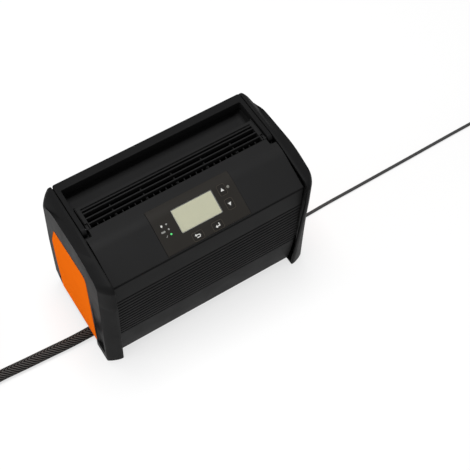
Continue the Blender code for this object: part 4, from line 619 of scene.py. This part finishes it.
def coil_turns(centre, slots, start, step, spacing, skip=0.0):
    """Clockwise turns that fill the slots, each a (radius, height), one after the other.

    The lead moves to the next slot over the last degrees of a turn, a little earlier on each turn,
    so that no two turns ever cross. start is the angle of its first point and skip drops the
    first degrees, where the straight stretch meets the coil.
    """
    period = 360.0 - step
    points = []
    count = int(period * len(slots) / spacing)
    for k in range(count + 1):
        turned = k * period * len(slots) / count
        if turned < skip:
            continue
        index = int(turned // period)
        into = (turned - index * period) / step
        index = min(index, len(slots) - 1)
        radius, height = slots[index]
        if index > 0 and into < 1.0:
            ease = 0.5 - 0.5 * math.cos(math.pi * into)
            last_radius, last_height = slots[index - 1]
            radius = last_radius + (radius - last_radius) * ease
            height = last_height + (height - last_height) * ease
        angle = math.radians(start - turned)
        points.append(Vector((centre[0] + radius * math.cos(angle),
                              centre[1] + radius * math.sin(angle), height)))
    return points


def path_length(points):
    return sum((b - a).length for a, b in zip(points, points[1:]))


def lay_lead(name, points, diameter, finish, resolution):
    """A smooth round tube along the points, made a mesh so that its finish can follow it."""
    curve = bpy.data.curves.new(name, "CURVE")
    curve.dimensions = "3D"
    curve.resolution_u = 4
    curve.bevel_depth = diameter / 2
    curve.bevel_resolution = resolution
    curve.use_fill_caps = True
    spline = curve.splines.new("BEZIER")
    spline.bezier_points.add(len(points) - 1)
    for target, point in zip(spline.bezier_points, points):
        target.co = point
        target.handle_left_type = target.handle_right_type = "AUTO"
    lead = bpy.data.objects.new(name, curve)
    bpy.context.scene.collection.objects.link(lead)
    select_only(lead)
    bpy.ops.object.convert(target="MESH")
    lead = bpy.context.view_layer.objects.active
    lead.name = name
    dress(lead, finish)
    for vertex in lead.data.vertices:
        vertex.co.z = max(vertex.co.z, FLOOR_CLEARANCE)
    bpy.ops.object.shade_smooth()
    return lead


class CHARGER_OT_battery_cable(bpy.types.Operator):
    """Lays the braided battery cable, its coil and its end in the connector"""
    bl_idname = "charger.battery_cable"
    bl_label = "Battery Cable"
    bl_options = {"REGISTER", "UNDO"}

    def execute(self, context):
        _, leads, _ = settings()
        pitch = leads.cable_diameter * TURN_CLEARANCE
        middle = BATTERY_COIL_DIAMETER / 2
        outer, inner = middle + pitch / 2, middle - pitch / 2
        low, high = BATTERY_REST_Z, BATTERY_REST_Z + pitch
        turns = coil_turns(BATTERY_COIL_CENTRE, [(outer, low), (outer, high), (inner, high), (inner, low)],
                           start=-80.0, step=50.0, spacing=8.0, skip=8.0)
        corner, far_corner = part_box("battery_connector")
        entry_x = (corner.x + far_corner.x) / 2 - BATTERY_COIL_CENTRE[0]
        leaves_at = math.radians(120.0)
        radius = (entry_x - inner * math.cos(leaves_at)) / (1 - math.cos(leaves_at))
        tail_centre = Vector((*BATTERY_COIL_CENTRE, low)) \
            + (inner - radius) * Vector((math.cos(leaves_at), math.sin(leaves_at), 0))
        tail = [tail_centre + radius * Vector((math.cos(a), math.sin(a), 0))
                for a in (leaves_at * (1 - k / 7) for k in range(1, 8))]
        tail.append(Vector((tail[-1].x, far_corner.y + 0.0004, low)))
        points = smooth_route(BATTERY_ROUTE, leads.cable_diameter) + turns + tail
        length = path_length(points)
        finish = braided_finish("Braided sleeve", leads.sleeve_colour, length, leads.braid_pitch,
                                leads.braid_columns)
        cable = lay_lead("battery_cable_whole", points, leads.cable_diameter, finish, 5)
        moulding = grained_finish("Connector moulding", (0.016, 0.016, 0.017), 0.4, 0.0007, 0.00004)
        connector, = soften_nodes(moulding, 0.0007, "battery_connector")
        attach(cable, "charger")
        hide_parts("battery_cable", "battery_cable_coil")
        return {"FINISHED"}


class CHARGER_OT_mains_cord(bpy.types.Operator):
    """Lays the mains cord, its coil and its end in the plug"""
    bl_idname = "charger.mains_cord"
    bl_label = "Mains Cord"
    bl_options = {"REGISTER", "UNDO"}

    def execute(self, context):
        _, leads, _ = settings()
        pitch = leads.cord_diameter * TURN_CLEARANCE
        middle = MAINS_COIL_DIAMETER / 2
        low, high = MAINS_REST_Z, MAINS_REST_Z + pitch
        radii = [middle + pitch * k for k in (1.5, 0.5, -0.5, -1.5)]
        slots = [(r, low) for r in radii] + [(r, high) for r in reversed(radii)]
        turns = coil_turns(MAINS_COIL_CENTRE, slots, start=90.0, step=30.0, spacing=15.0, skip=14.0)
        leaves_at = math.radians(90.0 - 8 * 330.0)
        out = Vector((math.cos(leaves_at), math.sin(leaves_at), 0))
        onward = Vector((out.y, -out.x, 0))
        over = high + pitch
        for k, share in ((4, 0.06), (3, 0.3), (2, 0.7), (1, 0.94)):
            turns[-k].z = high + (over - high) * share
        middle = turns[-1] - out * MAINS_PLUG_BEND
        tail = []
        for k in range(1, 6):
            swept = math.pi / 2 * k / 5
            rise = Vector((0, 0, (MAINS_PLUG_Z - turns[-1].z) * (0.5 - 0.5 * math.cos(math.pi * k / 5))))
            tail.append(middle + rise + MAINS_PLUG_BEND * (out * math.cos(swept) + onward * math.sin(swept)))
        finish = grained_finish("Cord rubber", (0.060, 0.060, 0.060), 0.5, 0.0009, 0.00004)
        points = smooth_route(MAINS_ROUTE, leads.cord_diameter * 3) + turns + tail
        cord = lay_lead("mains_cord_whole", points, leads.cord_diameter, finish, 4)
        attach(cord, "charger")
        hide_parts("mains_cord", "mains_cord_coil")
        plug, = soften_nodes(soft_rubber(), 0.0008, "mains_plug")
        pins = soften_nodes(metal_finish("Bright steel", (0.55, 0.55, 0.56), 0.3), 0.0002,
                            "mains_plug_pin_1", "mains_plug_pin_2")
        return {"FINISHED"}


def side_x(z):
    """How far from the middle the cap's outer face stands, which leans in towards its top."""
    return HALF_LENGTH - PLATE_PROUD - CAP_LEAN * z


def shared_finish(name, *values):
    """The finish of that name, made the first time that a piece asks for it."""
    return bpy.data.materials.get(name) or grained_finish(name, *values)


def black_moulding():
    cabinet, _, _ = settings()
    return shared_finish("Black moulding", cabinet.plastic_colour, 0.42, cabinet.grain_size, 0.00005)


# Painted shade: the shell's black plastic made darker for the caps and the handle
def shaded_cap_moulding():
    cabinet, _, _ = settings()
    return shared_finish("Cap moulding in painted shade", cabinet.cap_shaded_colour, 0.42, cabinet.grain_size, 0.00005)


def soft_rubber():
    return shared_finish("Soft rubber", (0.014, 0.014, 0.014), 0.6, 0.0008, 0.00005)


# Housing

class CHARGER_OT_shell(bpy.types.Operator):
    """Rounds the edges of the housing's shells and gives them their grained plastic"""
    bl_idname = "charger.shell"
    bl_label = "Housing Shells"
    bl_options = {"REGISTER", "UNDO"}

    def execute(self, context):
        finish = black_moulding()
        soften_nodes(finish, 0.0007, "top_shell")
        soften_nodes(finish, 0.0006, "front_panel", "rear_cover", "base_plate")
        soften_nodes(finish, 0.0003, "end_frame_left", "end_frame_right")
        return {"FINISHED"}


# End caps

def rim_outline():
    """The cap's outline next to the body, as (y, z) pairs."""
    return filleted([
        (FRONT_Y + 0.0105, 0.0, 0, 1), (FRONT_Y, HEIGHT * 0.72, 0.20, 8),
        (FRONT_Y, HEIGHT - 0.0172, 0.012, 10), (FRONT_Y + 0.047, HEIGHT - 0.0066, 0.10, 6),
        (FRONT_Y + 0.084, HEIGHT - 0.0006, 0.20, 6), (BACK_Y - 0.0045, HEIGHT, 0.0088, 10),
        (BACK_Y - 0.001, HEIGHT * 0.60, 0.12, 6), (BACK_Y, 0.015, 0, 1), (BACK_Y - 0.007, 0.0, 0, 1)])


def side_outline():
    """The outline of the cap's outer face, with the same corners as the rim."""
    return filleted([
        (SIDE_EDGE_Y, 0.0, 0, 1), (SIDE_EDGE_Y - 0.0006, HEIGHT * 0.72, 0.20, 8),
        (SIDE_EDGE_Y - 0.002, HEIGHT - 0.020, 0.014, 10), (FRONT_Y + 0.058, HEIGHT - 0.0055, 0.10, 6),
        (BACK_Y - 0.038, HEIGHT - 0.0085, 0.05, 6), (BACK_Y - 0.0105, HEIGHT - 0.0285, 0.010, 10),
        (BACK_Y - 0.0046, HEIGHT * 0.50, 0.10, 6), (BACK_Y - 0.0055, 0.015, 0, 1),
        (BACK_Y - 0.009, 0.0, 0, 1)])


def plate_outline():
    """The side plate's outline, above the opening that the leads pass under."""
    return filleted([
        (-0.0400, OUTLET_HEIGHT + 0.001, 0, 1), (-0.0345, HEIGHT - 0.0535, 0.010, 6),
        (0.0535, HEIGHT - 0.0585, 0.005, 6), (0.0675, 0.140, 0.03, 5), (0.0668, 0.085, 0.05, 5),
        (0.0618, OUTLET_HEIGHT + 0.001, 0, 1)])


def flat_ring(outline, x, side):
    return [(side * x, y, z) for y, z in outline]


def leaned_ring(outline, offset, side):
    return [(side * (side_x(z) + offset), y, z) for y, z in outline]


def block(name, low, high):
    """A straight-sided cutting tool between two corners."""
    outline = ((low[0], low[1]), (high[0], low[1]), (high[0], high[1]), (low[0], high[1]))
    return drawn_out(name, [[(x, y, z) for x, y in outline] for z in (low[2], high[2])])


def spread(side, low_x, high_x):
    """The two x values in rising order on the cap's own side."""
    return sorted((side * low_x, side * high_x))


def turned_about_x(name, centre, side, profile, count=16):
    """A round solid along X, from (x, radius) pairs."""
    y, z = centre
    return drawn_out(name, [[(side * x, y + radius * math.cos(2 * math.pi * k / count),
                              z + radius * math.sin(2 * math.pi * k / count)) for k in range(count)]
                            for x, radius in profile])


def cap_hull(name, side):
    """The cap's solid outer form: a flat rim, then a full shoulder that rolls over into the side."""
    rim, edge = rim_outline(), side_outline()
    rings = [flat_ring(drawn_in(rim, 0.0009), RIM_X, side),
             flat_ring(drawn_in(rim, 0.0003), RIM_X + 0.0003, side),
             flat_ring(rim, RIM_X + 0.0009, side), flat_ring(rim, RIM_X + CAP_BAND, side)]
    for k in range(1, CAP_STEPS + 1):
        swept = math.pi / 2 * k / CAP_STEPS
        out, inward = math.sin(swept) ** CAP_FULLNESS, 1 - math.cos(swept) ** CAP_FULLNESS
        ring = []
        for (rim_y, rim_z), (edge_y, edge_z) in zip(rim, edge):
            x = RIM_X + CAP_BAND + (side_x(edge_z) - RIM_X - CAP_BAND) * out
            ring.append((side * x, rim_y + (edge_y - rim_y) * inward, rim_z + (edge_z - rim_z) * inward))
        rings.append(ring)
    return drawn_out(name, rings)


def end_cap(side, name):
    """A deep cap with feet, open on the body's side, with a pocket for its plate."""
    cap = cap_hull(name, side)
    low_x, wall_x, far_x = RIM_X - 0.002, side_x(0) - CAP_SIDE_WALL, 0.18
    hollow_rim = [(y, max(z, FOOT_THICKNESS)) for y, z in drawn_in(rim_outline(), CAP_WALL)]
    hollow_edge = [(y, max(z, FOOT_THICKNESS)) for y, z in drawn_in(side_outline(), CAP_WALL + 0.001)]
    hollow = drawn_out("hollow", [flat_ring(hollow_rim, low_x, side),
                                  flat_ring(hollow_rim, RIM_X + CAP_BAND, side),
                                  leaned_ring(hollow_edge, -CAP_SIDE_WALL, side)])
    x0, x1 = spread(side, low_x, wall_x)
    open_floor = block("open floor", (x0, FOOT_FRONT_END_Y, -0.01),
                       (x1, FOOT_BACK_START_Y, FOOT_THICKNESS + 0.001))
    cut_away(cap, hollow, open_floor)

    x0, x1 = spread(side, RIM_X + 0.0002, FOOT_INSET_X)
    foot = block("back foot", (x0, FOOT_BACK_START_Y, 0.0), (x1, BACK_Y - 0.0080, FOOT_TOP_Z))
    cut_away(cap, foot, operation="UNION")
    skirt_line = filleted([
        (FOOT_FRONT_END_Y, -0.01, 0, 1), (FOOT_FRONT_END_Y, OUTLET_HEIGHT, 0.004, 5),
        (0.0660, OUTLET_HEIGHT, 0.012, 6), (BACK_Y - 0.0046, SKIRT_BACK_Z, 0.008, 6),
        (0.10, SKIRT_BACK_Z, 0, 1),
        (0.10, -0.01, 0, 1)])
    skirt = drawn_out("skirt", [flat_ring(skirt_line, FOOT_INSET_X, side),
                                flat_ring(skirt_line, far_x, side)])
    x0, x1 = LEAD_Y - OUTLET_WIDTH / 2, LEAD_Y + OUTLET_WIDTH / 2
    arch = filleted([(x0, -0.01, 0, 1), (x0, OUTLET_HEIGHT, 0.004, 5), (x1, OUTLET_HEIGHT, 0.004, 5),
                     (x1, -0.01, 0, 1)])
    outlet = drawn_out("outlet", [flat_ring(arch, low_x, side), flat_ring(arch, far_x, side)])
    pocket_line = drawn_in(plate_outline(), -PLATE_EDGE_GAP)
    pocket = drawn_out("pocket", [leaned_ring(pocket_line, PLATE_PROUD - PLATE_THICKNESS - 0.0003, side),
                                  leaned_ring(pocket_line, 0.01, side)])
    cut_away(cap, skirt, outlet, pocket, scoop(side))
    for y, z in CAP_SCREW_PLACES:
        reach = side_x(z) - CAP_SIDE_WALL + 0.0017
        cut_away(cap, turned_about_x("boss", (y, z), side,
                                      ((BOSS_START_X, BOSS_RADIUS), (reach, BOSS_RADIUS))), operation="UNION")
        seat = side_x(z) - PLATE_THICKNESS + PLATE_PROUD - 0.0028
        cut_away(cap, turned_about_x("screw hole", (y, z), side, (
            (seat - 0.03, SCREW_HOLE_RADIUS), (seat, SCREW_HOLE_RADIUS),
            (seat, SCREW_SEAT_RADIUS), (seat + 0.02, SCREW_SEAT_RADIUS))))
    round_edges(cap, 0.0004, 40)
    smooth_shading(cap)
    return cap


def scoop(side):
    """The hollow in front of the side plate, deeper towards the floor."""
    top, low = HEIGHT * 0.67, 0.016
    front, back = SIDE_EDGE_Y + 0.004, FOOT_FRONT_END_Y - 0.004
    rings = []
    for y, share in ((front, 0.0), (front + 0.003, 0.55), (front + 0.008, 1.0), (back - 0.005, 1.0),
                     (back - 0.001, 0.6), (back, 0.3)):
        rings.append([(side * (side_x(top) + 0.0004), y, top),
                      (side * (side_x(low) - SCOOP_DEPTH * share + 0.0004), y, low),
                      (side * (side_x(low) + 0.01), y, low),
                      (side * (side_x(top) + 0.01), y, top)])
    return drawn_out("scoop", rings)


class CHARGER_OT_end_caps(bpy.types.Operator):
    """Models the two deep end caps with their feet, and blackens the screws that hold them"""
    bl_idname = "charger.end_caps"
    bl_label = "End Caps"
    bl_options = {"REGISTER", "UNDO"}

    def execute(self, context):
        for side, hand in ((-1, "left"), (1, "right")):
            stand_in(end_cap(side, f"shaded_cap_moulding_{hand}"), f"end_cap_{hand}", shaded_cap_moulding())
        blackened = metal_finish("Blackened steel", (0.03, 0.03, 0.032), 0.45)
        dress_nodes(blackened, *[f"cap_screw_{hand}_{k}" for hand in ("left", "right") for k in (1, 2, 3)])
        return {"FINISHED"}


class CHARGER_OT_side_plates(bpy.types.Operator):
    """Models the two coloured plates that cover the caps' screws"""
    bl_idname = "charger.side_plates"
    bl_label = "Side Plates"
    bl_options = {"REGISTER", "UNDO"}

    def execute(self, context):
        cabinet, _, _ = settings()
        finish = grained_finish("Orange moulding", cabinet.plate_colour, 0.5, cabinet.grain_size,
                                0.00003, 0.0)
        outline = plate_outline()
        for side, hand in ((-1, "left"), (1, "right")):
            plate = drawn_out(f"plate_moulding_{hand}", [
                leaned_ring(outline, PLATE_PROUD - PLATE_THICKNESS, side),
                leaned_ring(outline, PLATE_PROUD - 0.0009, side),
                leaned_ring(drawn_in(outline, 0.0003), PLATE_PROUD - 0.0003, side),
                leaned_ring(drawn_in(outline, 0.0009), PLATE_PROUD, side)])
            smooth_shading(plate)
            stand_in(plate, f"side_plate_{hand}", finish)
        return {"FINISHED"}


# Handle and vent

class CHARGER_OT_handle(bpy.types.Operator):
    """Rounds the carry handle that folds into the top, and its two pins"""
    bl_idname = "charger.handle"
    bl_label = "Carry Handle"
    bl_options = {"REGISTER", "UNDO"}

    def execute(self, context):
        soften_nodes(shaded_cap_moulding(), 0.0009, "carry_handle")
        soften_nodes(bpy.data.materials["Blackened steel"], 0.0002, "handle_pin_left", "handle_pin_right")
        return {"FINISHED"}


class CHARGER_OT_vent(bpy.types.Operator):
    """Finishes the vent grille and the fan below it, and adds the dust screen behind the rear slots"""
    bl_idname = "charger.vent"
    bl_label = "Vent and Fan"
    bl_options = {"REGISTER", "UNDO"}

    def execute(self, context):
        finish = grained_finish("Grille moulding", (0.0150, 0.0150, 0.0152), 0.45, 0.0006, 0.00004)
        soften_nodes(finish, 0.0002, "vent_grille")
        soften_nodes(finish, 0.0004, "fan_frame", "fan_rotor")
        outline = rounded_box(*DUST_SCREEN_SIZE, 0.004, 4, DUST_SCREEN_MIDDLE)
        screen = drawn_out("dust_screen", [[(x, y, z) for x, z in outline] for y in DUST_SCREEN_FACES_Y])
        dress(screen, woven_screen_finish("Dust screen", (0.02, 0.02, 0.02), 0.0016))
        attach(screen, "charger")
        return {"FINISHED"}


# Control panel

def on_panel(pair, out, middle=(0.0, 0.0)):
    """A place on the sloping panel: along it, up it and out from it."""
    along = Vector((pair[0] + middle[0], 0, 0))
    return PANEL_FOOT + along + PANEL_UP * (pair[1] + middle[1]) + PANEL_OUT * out


def printed(name, outline, middle, low, high, finish, body="charger"):
    """A mark printed on the panel or on a key, as thick as a coat of ink."""
    mark = drawn_out(name, [[on_panel(p, out, middle) for p in outline] for out in (low, high)])
    dress(mark, finish)
    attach(mark, body)


def edge_highlight_frame(name, size, middle, line, finish):
    """A painted highlight: the fine lighter line round a key, along the edge of its opening."""
    outline = rounded_box(size[0] + 2 * line, size[1] + 2 * line, 0.0026, 5)
    outer, inner = ([on_panel(pair, FILM_TOP, middle) for pair in pairs]
                    for pairs in (outline, drawn_in(outline, line)))
    highlight_line = first_ring(name, outer, "NOTHING", "VERT")
    next_ring(highlight_line, outer, inner)
    bpy.ops.mesh.select_all(action="SELECT")
    bpy.ops.mesh.extrude_region_move(TRANSFORM_OT_translate={"value": PANEL_OUT * INK})
    face_outwards()
    dress(highlight_line, finish)
    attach(highlight_line, "charger")


class CHARGER_OT_panel(bpy.types.Operator):
    """Finishes the panel's film, the window and the display behind it"""
    bl_idname = "charger.panel"
    bl_label = "Panel and Display"
    bl_options = {"REGISTER", "UNDO"}

    def execute(self, context):
        film = grained_finish("Panel film", (0.0212, 0.0196, 0.0176), 0.38, 0.0009, 0.00001, 0.02)
        dress_nodes(film, "control_overlay")
        dress_nodes(window_finish(), "display_window")
        dress_nodes(display_finish("Display grey", (0.37, 0.365, 0.235)), "lcd_module")
        return {"FINISHED"}


def arc(centre, radius, start, end, count):
    return [(centre[0] + radius * math.cos(math.radians(start + (end - start) * k / count)),
             centre[1] + radius * math.sin(math.radians(start + (end - start) * k / count)))
            for k in range(count + 1)]


class CHARGER_OT_keys(bpy.types.Operator):
    """Finishes the four keys, their printed marks and the fine lines of painted highlight round them"""
    bl_idname = "charger.keys"
    bl_label = "Keys"
    bl_options = {"REGISTER", "UNDO"}

    def execute(self, context):
        pads = grained_finish("Key pads", (0.0190, 0.0176, 0.0160), 0.5, 0.0008, 0.00002)
        soften_nodes(pads, 0.0003, *KEY_PLACES)
        ink = grained_finish("White ink", (0.56, 0.56, 0.54), 0.5, 0.0006, 0.00001, 0.05, 0.03)
        # Painted highlight: a lighter line along the edge of each key's opening, where that edge would catch
        # the light
        edge_highlight_finish = grained_finish("Key edge highlight", (0.052, 0.046, 0.038), 0.5, 0.0006, 0.00001, 0.02, 0.03)
        up = [(-0.0025, -0.0018), (0.0025, -0.0018), (0.0, 0.0025)]
        down = [(-x, -y) for x, y in up]
        bend = (0.0012, -0.0001)
        back = [(-0.0042, 0.0016), (-0.0018, -0.0004), (-0.0018, 0.00105), *arc(bend, 0.00115, 90, -90, 6),
                (-0.0024, -0.00125), (-0.0024, -0.00235), *arc(bend, 0.00225, -90, 90, 8),
                (-0.0018, 0.00215), (-0.0018, 0.0036)]
        enter = [(0.0018, 0.0028), (0.0030, 0.0028), (0.0030, -0.0016), (-0.0012, -0.0016),
                 (-0.0012, -0.0031), (-0.0038, -0.0010), (-0.0012, 0.0011), (-0.0012, -0.0004),
                 (0.0018, -0.0004)]
        for node, outline in (("key_up", up), ("key_down", down), ("key_back", back), ("key_enter", enter)):
            size = TALL_KEY_SIZE if node in ("key_up", "key_down") else WIDE_KEY_SIZE
            printed(f"{node}_mark", outline, KEY_PLACES[node], KEY_TOP - 0.00005, KEY_TOP + INK, ink,
                    NODE_BODIES[node])
            edge_highlight_frame(f"{node}_line", size, KEY_PLACES[node], 0.00055, edge_highlight_finish)
        return {"FINISHED"}


class CHARGER_OT_indicators(bpy.types.Operator):
    """Finishes the four indicator lenses and prints the plain signs beside three of them"""
    bl_idname = "charger.indicators"
    bl_label = "Indicators"
    bl_options = {"REGISTER", "UNDO"}

    def execute(self, context):
        dress_nodes(lens_finish("Clear lens", (0.26, 0.26, 0.25)), "indicator_power", "indicator_charging")
        dress_nodes(lens_finish("Smoke lens", (0.17, 0.17, 0.15)), "indicator_mode")
        dress_nodes(lens_finish("Green lamp", (0.10, 0.62, 0.18), 0.35), "indicator_ready")
        white = bpy.data.materials["White ink"]
        grey = grained_finish("Grey ink", (0.22, 0.22, 0.21), 0.5, 0.0006, 0.00001, 0.03, 0.03)
        plug = [(-0.0004, -0.0019), (0.0004, -0.0019), (0.0004, -0.0011), *arc((0, 0), 0.0013, -60, 0, 3),
                (0.0013, 0.0008), (0.0009, 0.0008), (0.0009, 0.0018), (0.0004, 0.0018), (0.0004, 0.0008),
                (-0.0004, 0.0008), (-0.0004, 0.0018), (-0.0009, 0.0018), (-0.0009, 0.0008),
                (-0.0013, 0.0008), *arc((0, 0), 0.0013, 180, 240, 3), (-0.0004, -0.0011)]
        cell = [(-0.0028, -0.0012), (0.0028, -0.0012), (0.0028, 0.0010), (0.0021, 0.0010), (0.0021, 0.0014),
                (0.0011, 0.0014), (0.0011, 0.0010), (-0.0011, 0.0010), (-0.0011, 0.0014), (-0.0021, 0.0014),
                (-0.0021, 0.0010), (-0.0028, 0.0010)]
        tick = [(-0.0014, 0.0000), (-0.0004, -0.0011), (0.0014, 0.0012), (0.0008, 0.0017), (-0.0004, 0.0002),
                (-0.0009, 0.0006)]
        for name, outline, middle, ink in (("power_sign", plug, (-0.0508, 0.0401), white),
                                           ("charging_sign", cell, (-0.0522, 0.0324), grey),
                                           ("ready_sign", tick, (-0.0503, 0.0252), grey)):
            printed(name, outline, middle, FILM_TOP - 0.00002, FILM_TOP + INK, ink)
        return {"FINISHED"}


# Small parts

class CHARGER_OT_rear_screws(bpy.types.Operator):
    """Models the four pan-head screws of the rear cover, each with a cross recess"""
    bl_idname = "charger.rear_screws"
    bl_label = "Rear Screws"
    bl_options = {"REGISTER", "UNDO"}

    def execute(self, context):
        finish = bpy.data.materials["Bright steel"]
        low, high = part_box("rear_screw_1")
        middle = (low + high) / 2
        seat = min(v.co.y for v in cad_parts["rear_screw_1"].data.vertices
                   if math.hypot(v.co.x - middle.x, v.co.z - middle.z) > 0.0025)
        rings = []
        for y, radius in ((low.y, 0.0012), (low.y + 0.0004, 0.0015), (seat, 0.0015), (seat, 0.0030),
                          (seat + 0.45 * (high.y - seat), 0.0030), (seat + 0.8 * (high.y - seat), 0.0025),
                          (high.y, 0.0014)):
            rings.append([(middle.x + radius * math.cos(2 * math.pi * k / 24), y,
                           middle.z + radius * math.sin(2 * math.pi * k / 24)) for k in range(24)])
        screw = drawn_out("rear_screw_head_1", rings)
        arm, half = 0.0016, 0.00035
        cross = [(-half, -arm), (half, -arm), (half, -half), (arm, -half), (arm, half), (half, half),
                 (half, arm), (-half, arm), (-half, half), (-arm, half), (-arm, -half), (-half, -half)]
        recess = drawn_out("recess", [[(middle.x + a * share, y, middle.z + b * share) for a, b in cross]
                                      for y, share in ((high.y - 0.0011, 0.6), (high.y + 0.001, 1.15))])
        cut_away(screw, recess)
        smooth_shading(screw)
        for k in range(1, 5):
            piece = screw
            if k > 1:
                piece = bpy.data.objects.new(f"rear_screw_head_{k}", screw.data.copy())
                context.scene.collection.objects.link(piece)
                step = (sum(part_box(f"rear_screw_{k}"), Vector()) / 2) - middle
                piece.data.transform(Matrix.Translation(step))
            stand_in(piece, f"rear_screw_{k}", finish)
        return {"FINISHED"}


class CHARGER_OT_strain_reliefs(bpy.types.Operator):
    """Finishes the rubber sleeves that hold the two leads where they leave the housing"""
    bl_idname = "charger.strain_reliefs"
    bl_label = "Strain Reliefs"
    bl_options = {"REGISTER", "UNDO"}

    def execute(self, context):
        dress_nodes(soft_rubber(), "battery_relief", "mains_relief")
        return {"FINISHED"}


class CHARGER_OT_inside(bpy.types.Operator):
    """Finishes the boards and the power parts inside"""
    bl_idname = "charger.inside"
    bl_label = "Inside Parts"
    bl_options = {"REGISTER", "UNDO"}

    def execute(self, context):
        board = grained_finish("Circuit board", (0.006, 0.040, 0.016), 0.4, 0.002, 0.00005)
        anodised = grained_finish("Black anodised", (0.010, 0.010, 0.011), 0.45, 0.0008, 0.00003)
        ferrite = grained_finish("Ferrite", (0.016, 0.016, 0.018), 0.5, 0.0008, 0.00006)
        sleeve = grained_finish("Capacitor sleeve", (0.010, 0.014, 0.045), 0.35, 0.002, 0.00002)
        dress_nodes(board, "display_board", "main_board")
        soften_nodes(anodised, 0.0002, "heat_sink_left", "heat_sink_right")
        soften_nodes(ferrite, 0.0004, "transformer_core")
        soften_nodes(wound_finish("Enamelled copper", (0.20, 0.075, 0.03), 0.0014), 0.0006,
                     "transformer_winding", "output_choke")
        soften_nodes(sleeve, 0.0008, "capacitor_1", "capacitor_2")
        soften_nodes(bpy.data.materials["Connector moulding"], 0.0003, "terminal_block")
        return {"FINISHED"}


# Studio

def studio_white(name, colour, shadow_share):
    """A diffuse white that the camera and reflections see as near white, and that keeps the shadow."""
    made, tree, shader = node_tree(name)
    set_surface(shader, Base_Color=(*colour, 1.0), Roughness=0.9, Specular_IOR_Level=0.0)
    rays = add_node(tree, "ShaderNodeLightPath")
    seen = math_node(tree, "MAXIMUM", rays.outputs["Is Camera Ray"], rays.outputs["Is Glossy Ray"])
    seen = math_node(tree, "MAXIMUM", seen, rays.outputs["Is Transmission Ray"])
    share = math_node(tree, "MULTIPLY", seen, 1.0 - shadow_share)
    glow = add_node(tree, "ShaderNodeEmission", Color=(1.0, 1.0, 1.0, 1.0), Strength=1.0)
    blend = add_node(tree, "ShaderNodeMixShader")
    output = tree.nodes["Material Output"]
    join(tree, (share, blend.inputs[0]), (shader.outputs[0], blend.inputs[1]),
         (glow.outputs[0], blend.inputs[2]), (blend.outputs[0], output.inputs["Surface"]))
    return made


class CHARGER_OT_studio(bpy.types.Operator):
    """Sets the pale floor, the soft light and the surround"""
    bl_idname = "charger.studio"
    bl_label = "Studio"
    bl_options = {"REGISTER", "UNDO"}

    def execute(self, context):
        _, _, studio = settings()
        scene = context.scene
        scene.view_settings.view_transform = "Standard"
        deselect()
        bpy.ops.mesh.primitive_plane_add(size=FLOOR_SIZE, location=(0.0, 0.0, -FLOOR_CLEARANCE))
        floor = context.active_object
        floor.name = "studio_floor"
        floor.data.materials.append(studio_white("Studio floor", studio.floor_colour, 0.3))

        world = bpy.data.worlds.new("Studio surround")
        world.use_nodes = True
        scene.world = world
        tree = world.node_tree
        background = tree.nodes["Background"]
        background.inputs["Color"].default_value = (1.0, 1.0, 1.0, 1.0)
        rays = add_node(tree, "ShaderNodeLightPath")
        seen = math_node(tree, "MAXIMUM", rays.outputs["Is Camera Ray"], rays.outputs["Is Transmission Ray"])
        strength = add_node(tree, "ShaderNodeMapRange", To_Min=studio.surround_light, To_Max=1.0)
        join(tree, (seen, strength.inputs["Value"]),
             (strength.outputs["Result"], background.inputs["Strength"]))

        for name, place, size, power in (("studio_key", KEY_LAMP_PLACE, 0.9, studio.key_light),
                                         ("studio_side", SIDE_LAMP_PLACE, 0.8, studio.side_light)):
            bpy.ops.object.light_add(type="AREA", location=place)
            lamp = context.active_object
            lamp.name = name
            lamp.data.size = size
            lamp.data.energy = power
            lamp.rotation_euler = (LAMP_TARGET - lamp.location).to_track_quat("-Z", "Y").to_euler()
        return {"FINISHED"}


class CHARGER_OT_camera(bpy.types.Operator):
    """Places the camera at the height and angle of a product photograph"""
    bl_idname = "charger.camera"
    bl_label = "Camera"
    bl_options = {"REGISTER", "UNDO"}

    def execute(self, context):
        _, _, studio = settings()
        deselect()
        bpy.ops.object.camera_add(location=CAMERA_PLACE, rotation=[math.radians(a) for a in CAMERA_TURN])
        camera = context.active_object
        camera.name = "product_camera"
        camera.data.sensor_width = SENSOR_WIDTH
        camera.data.lens = studio.lens
        camera.data.shift_x = CAMERA_SHIFT_X
        camera.data.clip_start = 0.01
        context.scene.camera = camera
        return {"FINISHED"}


class CHARGER_PT_sidebar(bpy.types.Panel):
    """Lists the charger's pieces in the sidebar"""
    bl_label = "Battery Charger"
    bl_space_type = "VIEW_3D"
    bl_region_type = "UI"
    bl_category = "Charger"

    def draw(self, context):
        layout = self.layout
        for group in settings():
            box = layout.box()
            for key in group.__annotations__:
                box.prop(group, key)
        for operator in OPERATORS:
            layout.operator(operator.bl_idname)


OPERATORS = (
    CHARGER_OT_camera,
    CHARGER_OT_battery_cable,
    CHARGER_OT_mains_cord,
    CHARGER_OT_shell,
    CHARGER_OT_end_caps,
    CHARGER_OT_side_plates,
    CHARGER_OT_handle,
    CHARGER_OT_vent,
    CHARGER_OT_panel,
    CHARGER_OT_keys,
    CHARGER_OT_indicators,
    CHARGER_OT_rear_screws,
    CHARGER_OT_strain_reliefs,
    CHARGER_OT_inside,
    CHARGER_OT_studio,
)
CLASSES = (CabinetSettings, LeadSettings, StudioSettings, *OPERATORS, CHARGER_PT_sidebar)


def register():
    for kind in CLASSES:
        bpy.utils.register_class(kind)
    bpy.types.Scene.charger_cabinet = PointerProperty(type=CabinetSettings)
    bpy.types.Scene.charger_leads = PointerProperty(type=LeadSettings)
    bpy.types.Scene.charger_studio = PointerProperty(type=StudioSettings)


def unregister():
    del bpy.types.Scene.charger_cabinet
    del bpy.types.Scene.charger_leads
    del bpy.types.Scene.charger_studio
    for kind in reversed(CLASSES):
        bpy.utils.unregister_class(kind)


def main():
    register()
    for operator in OPERATORS:
        group, name = operator.bl_idname.split(".")
        getattr(getattr(bpy.ops, group), name)()


if __name__ == "__main__":
    main()
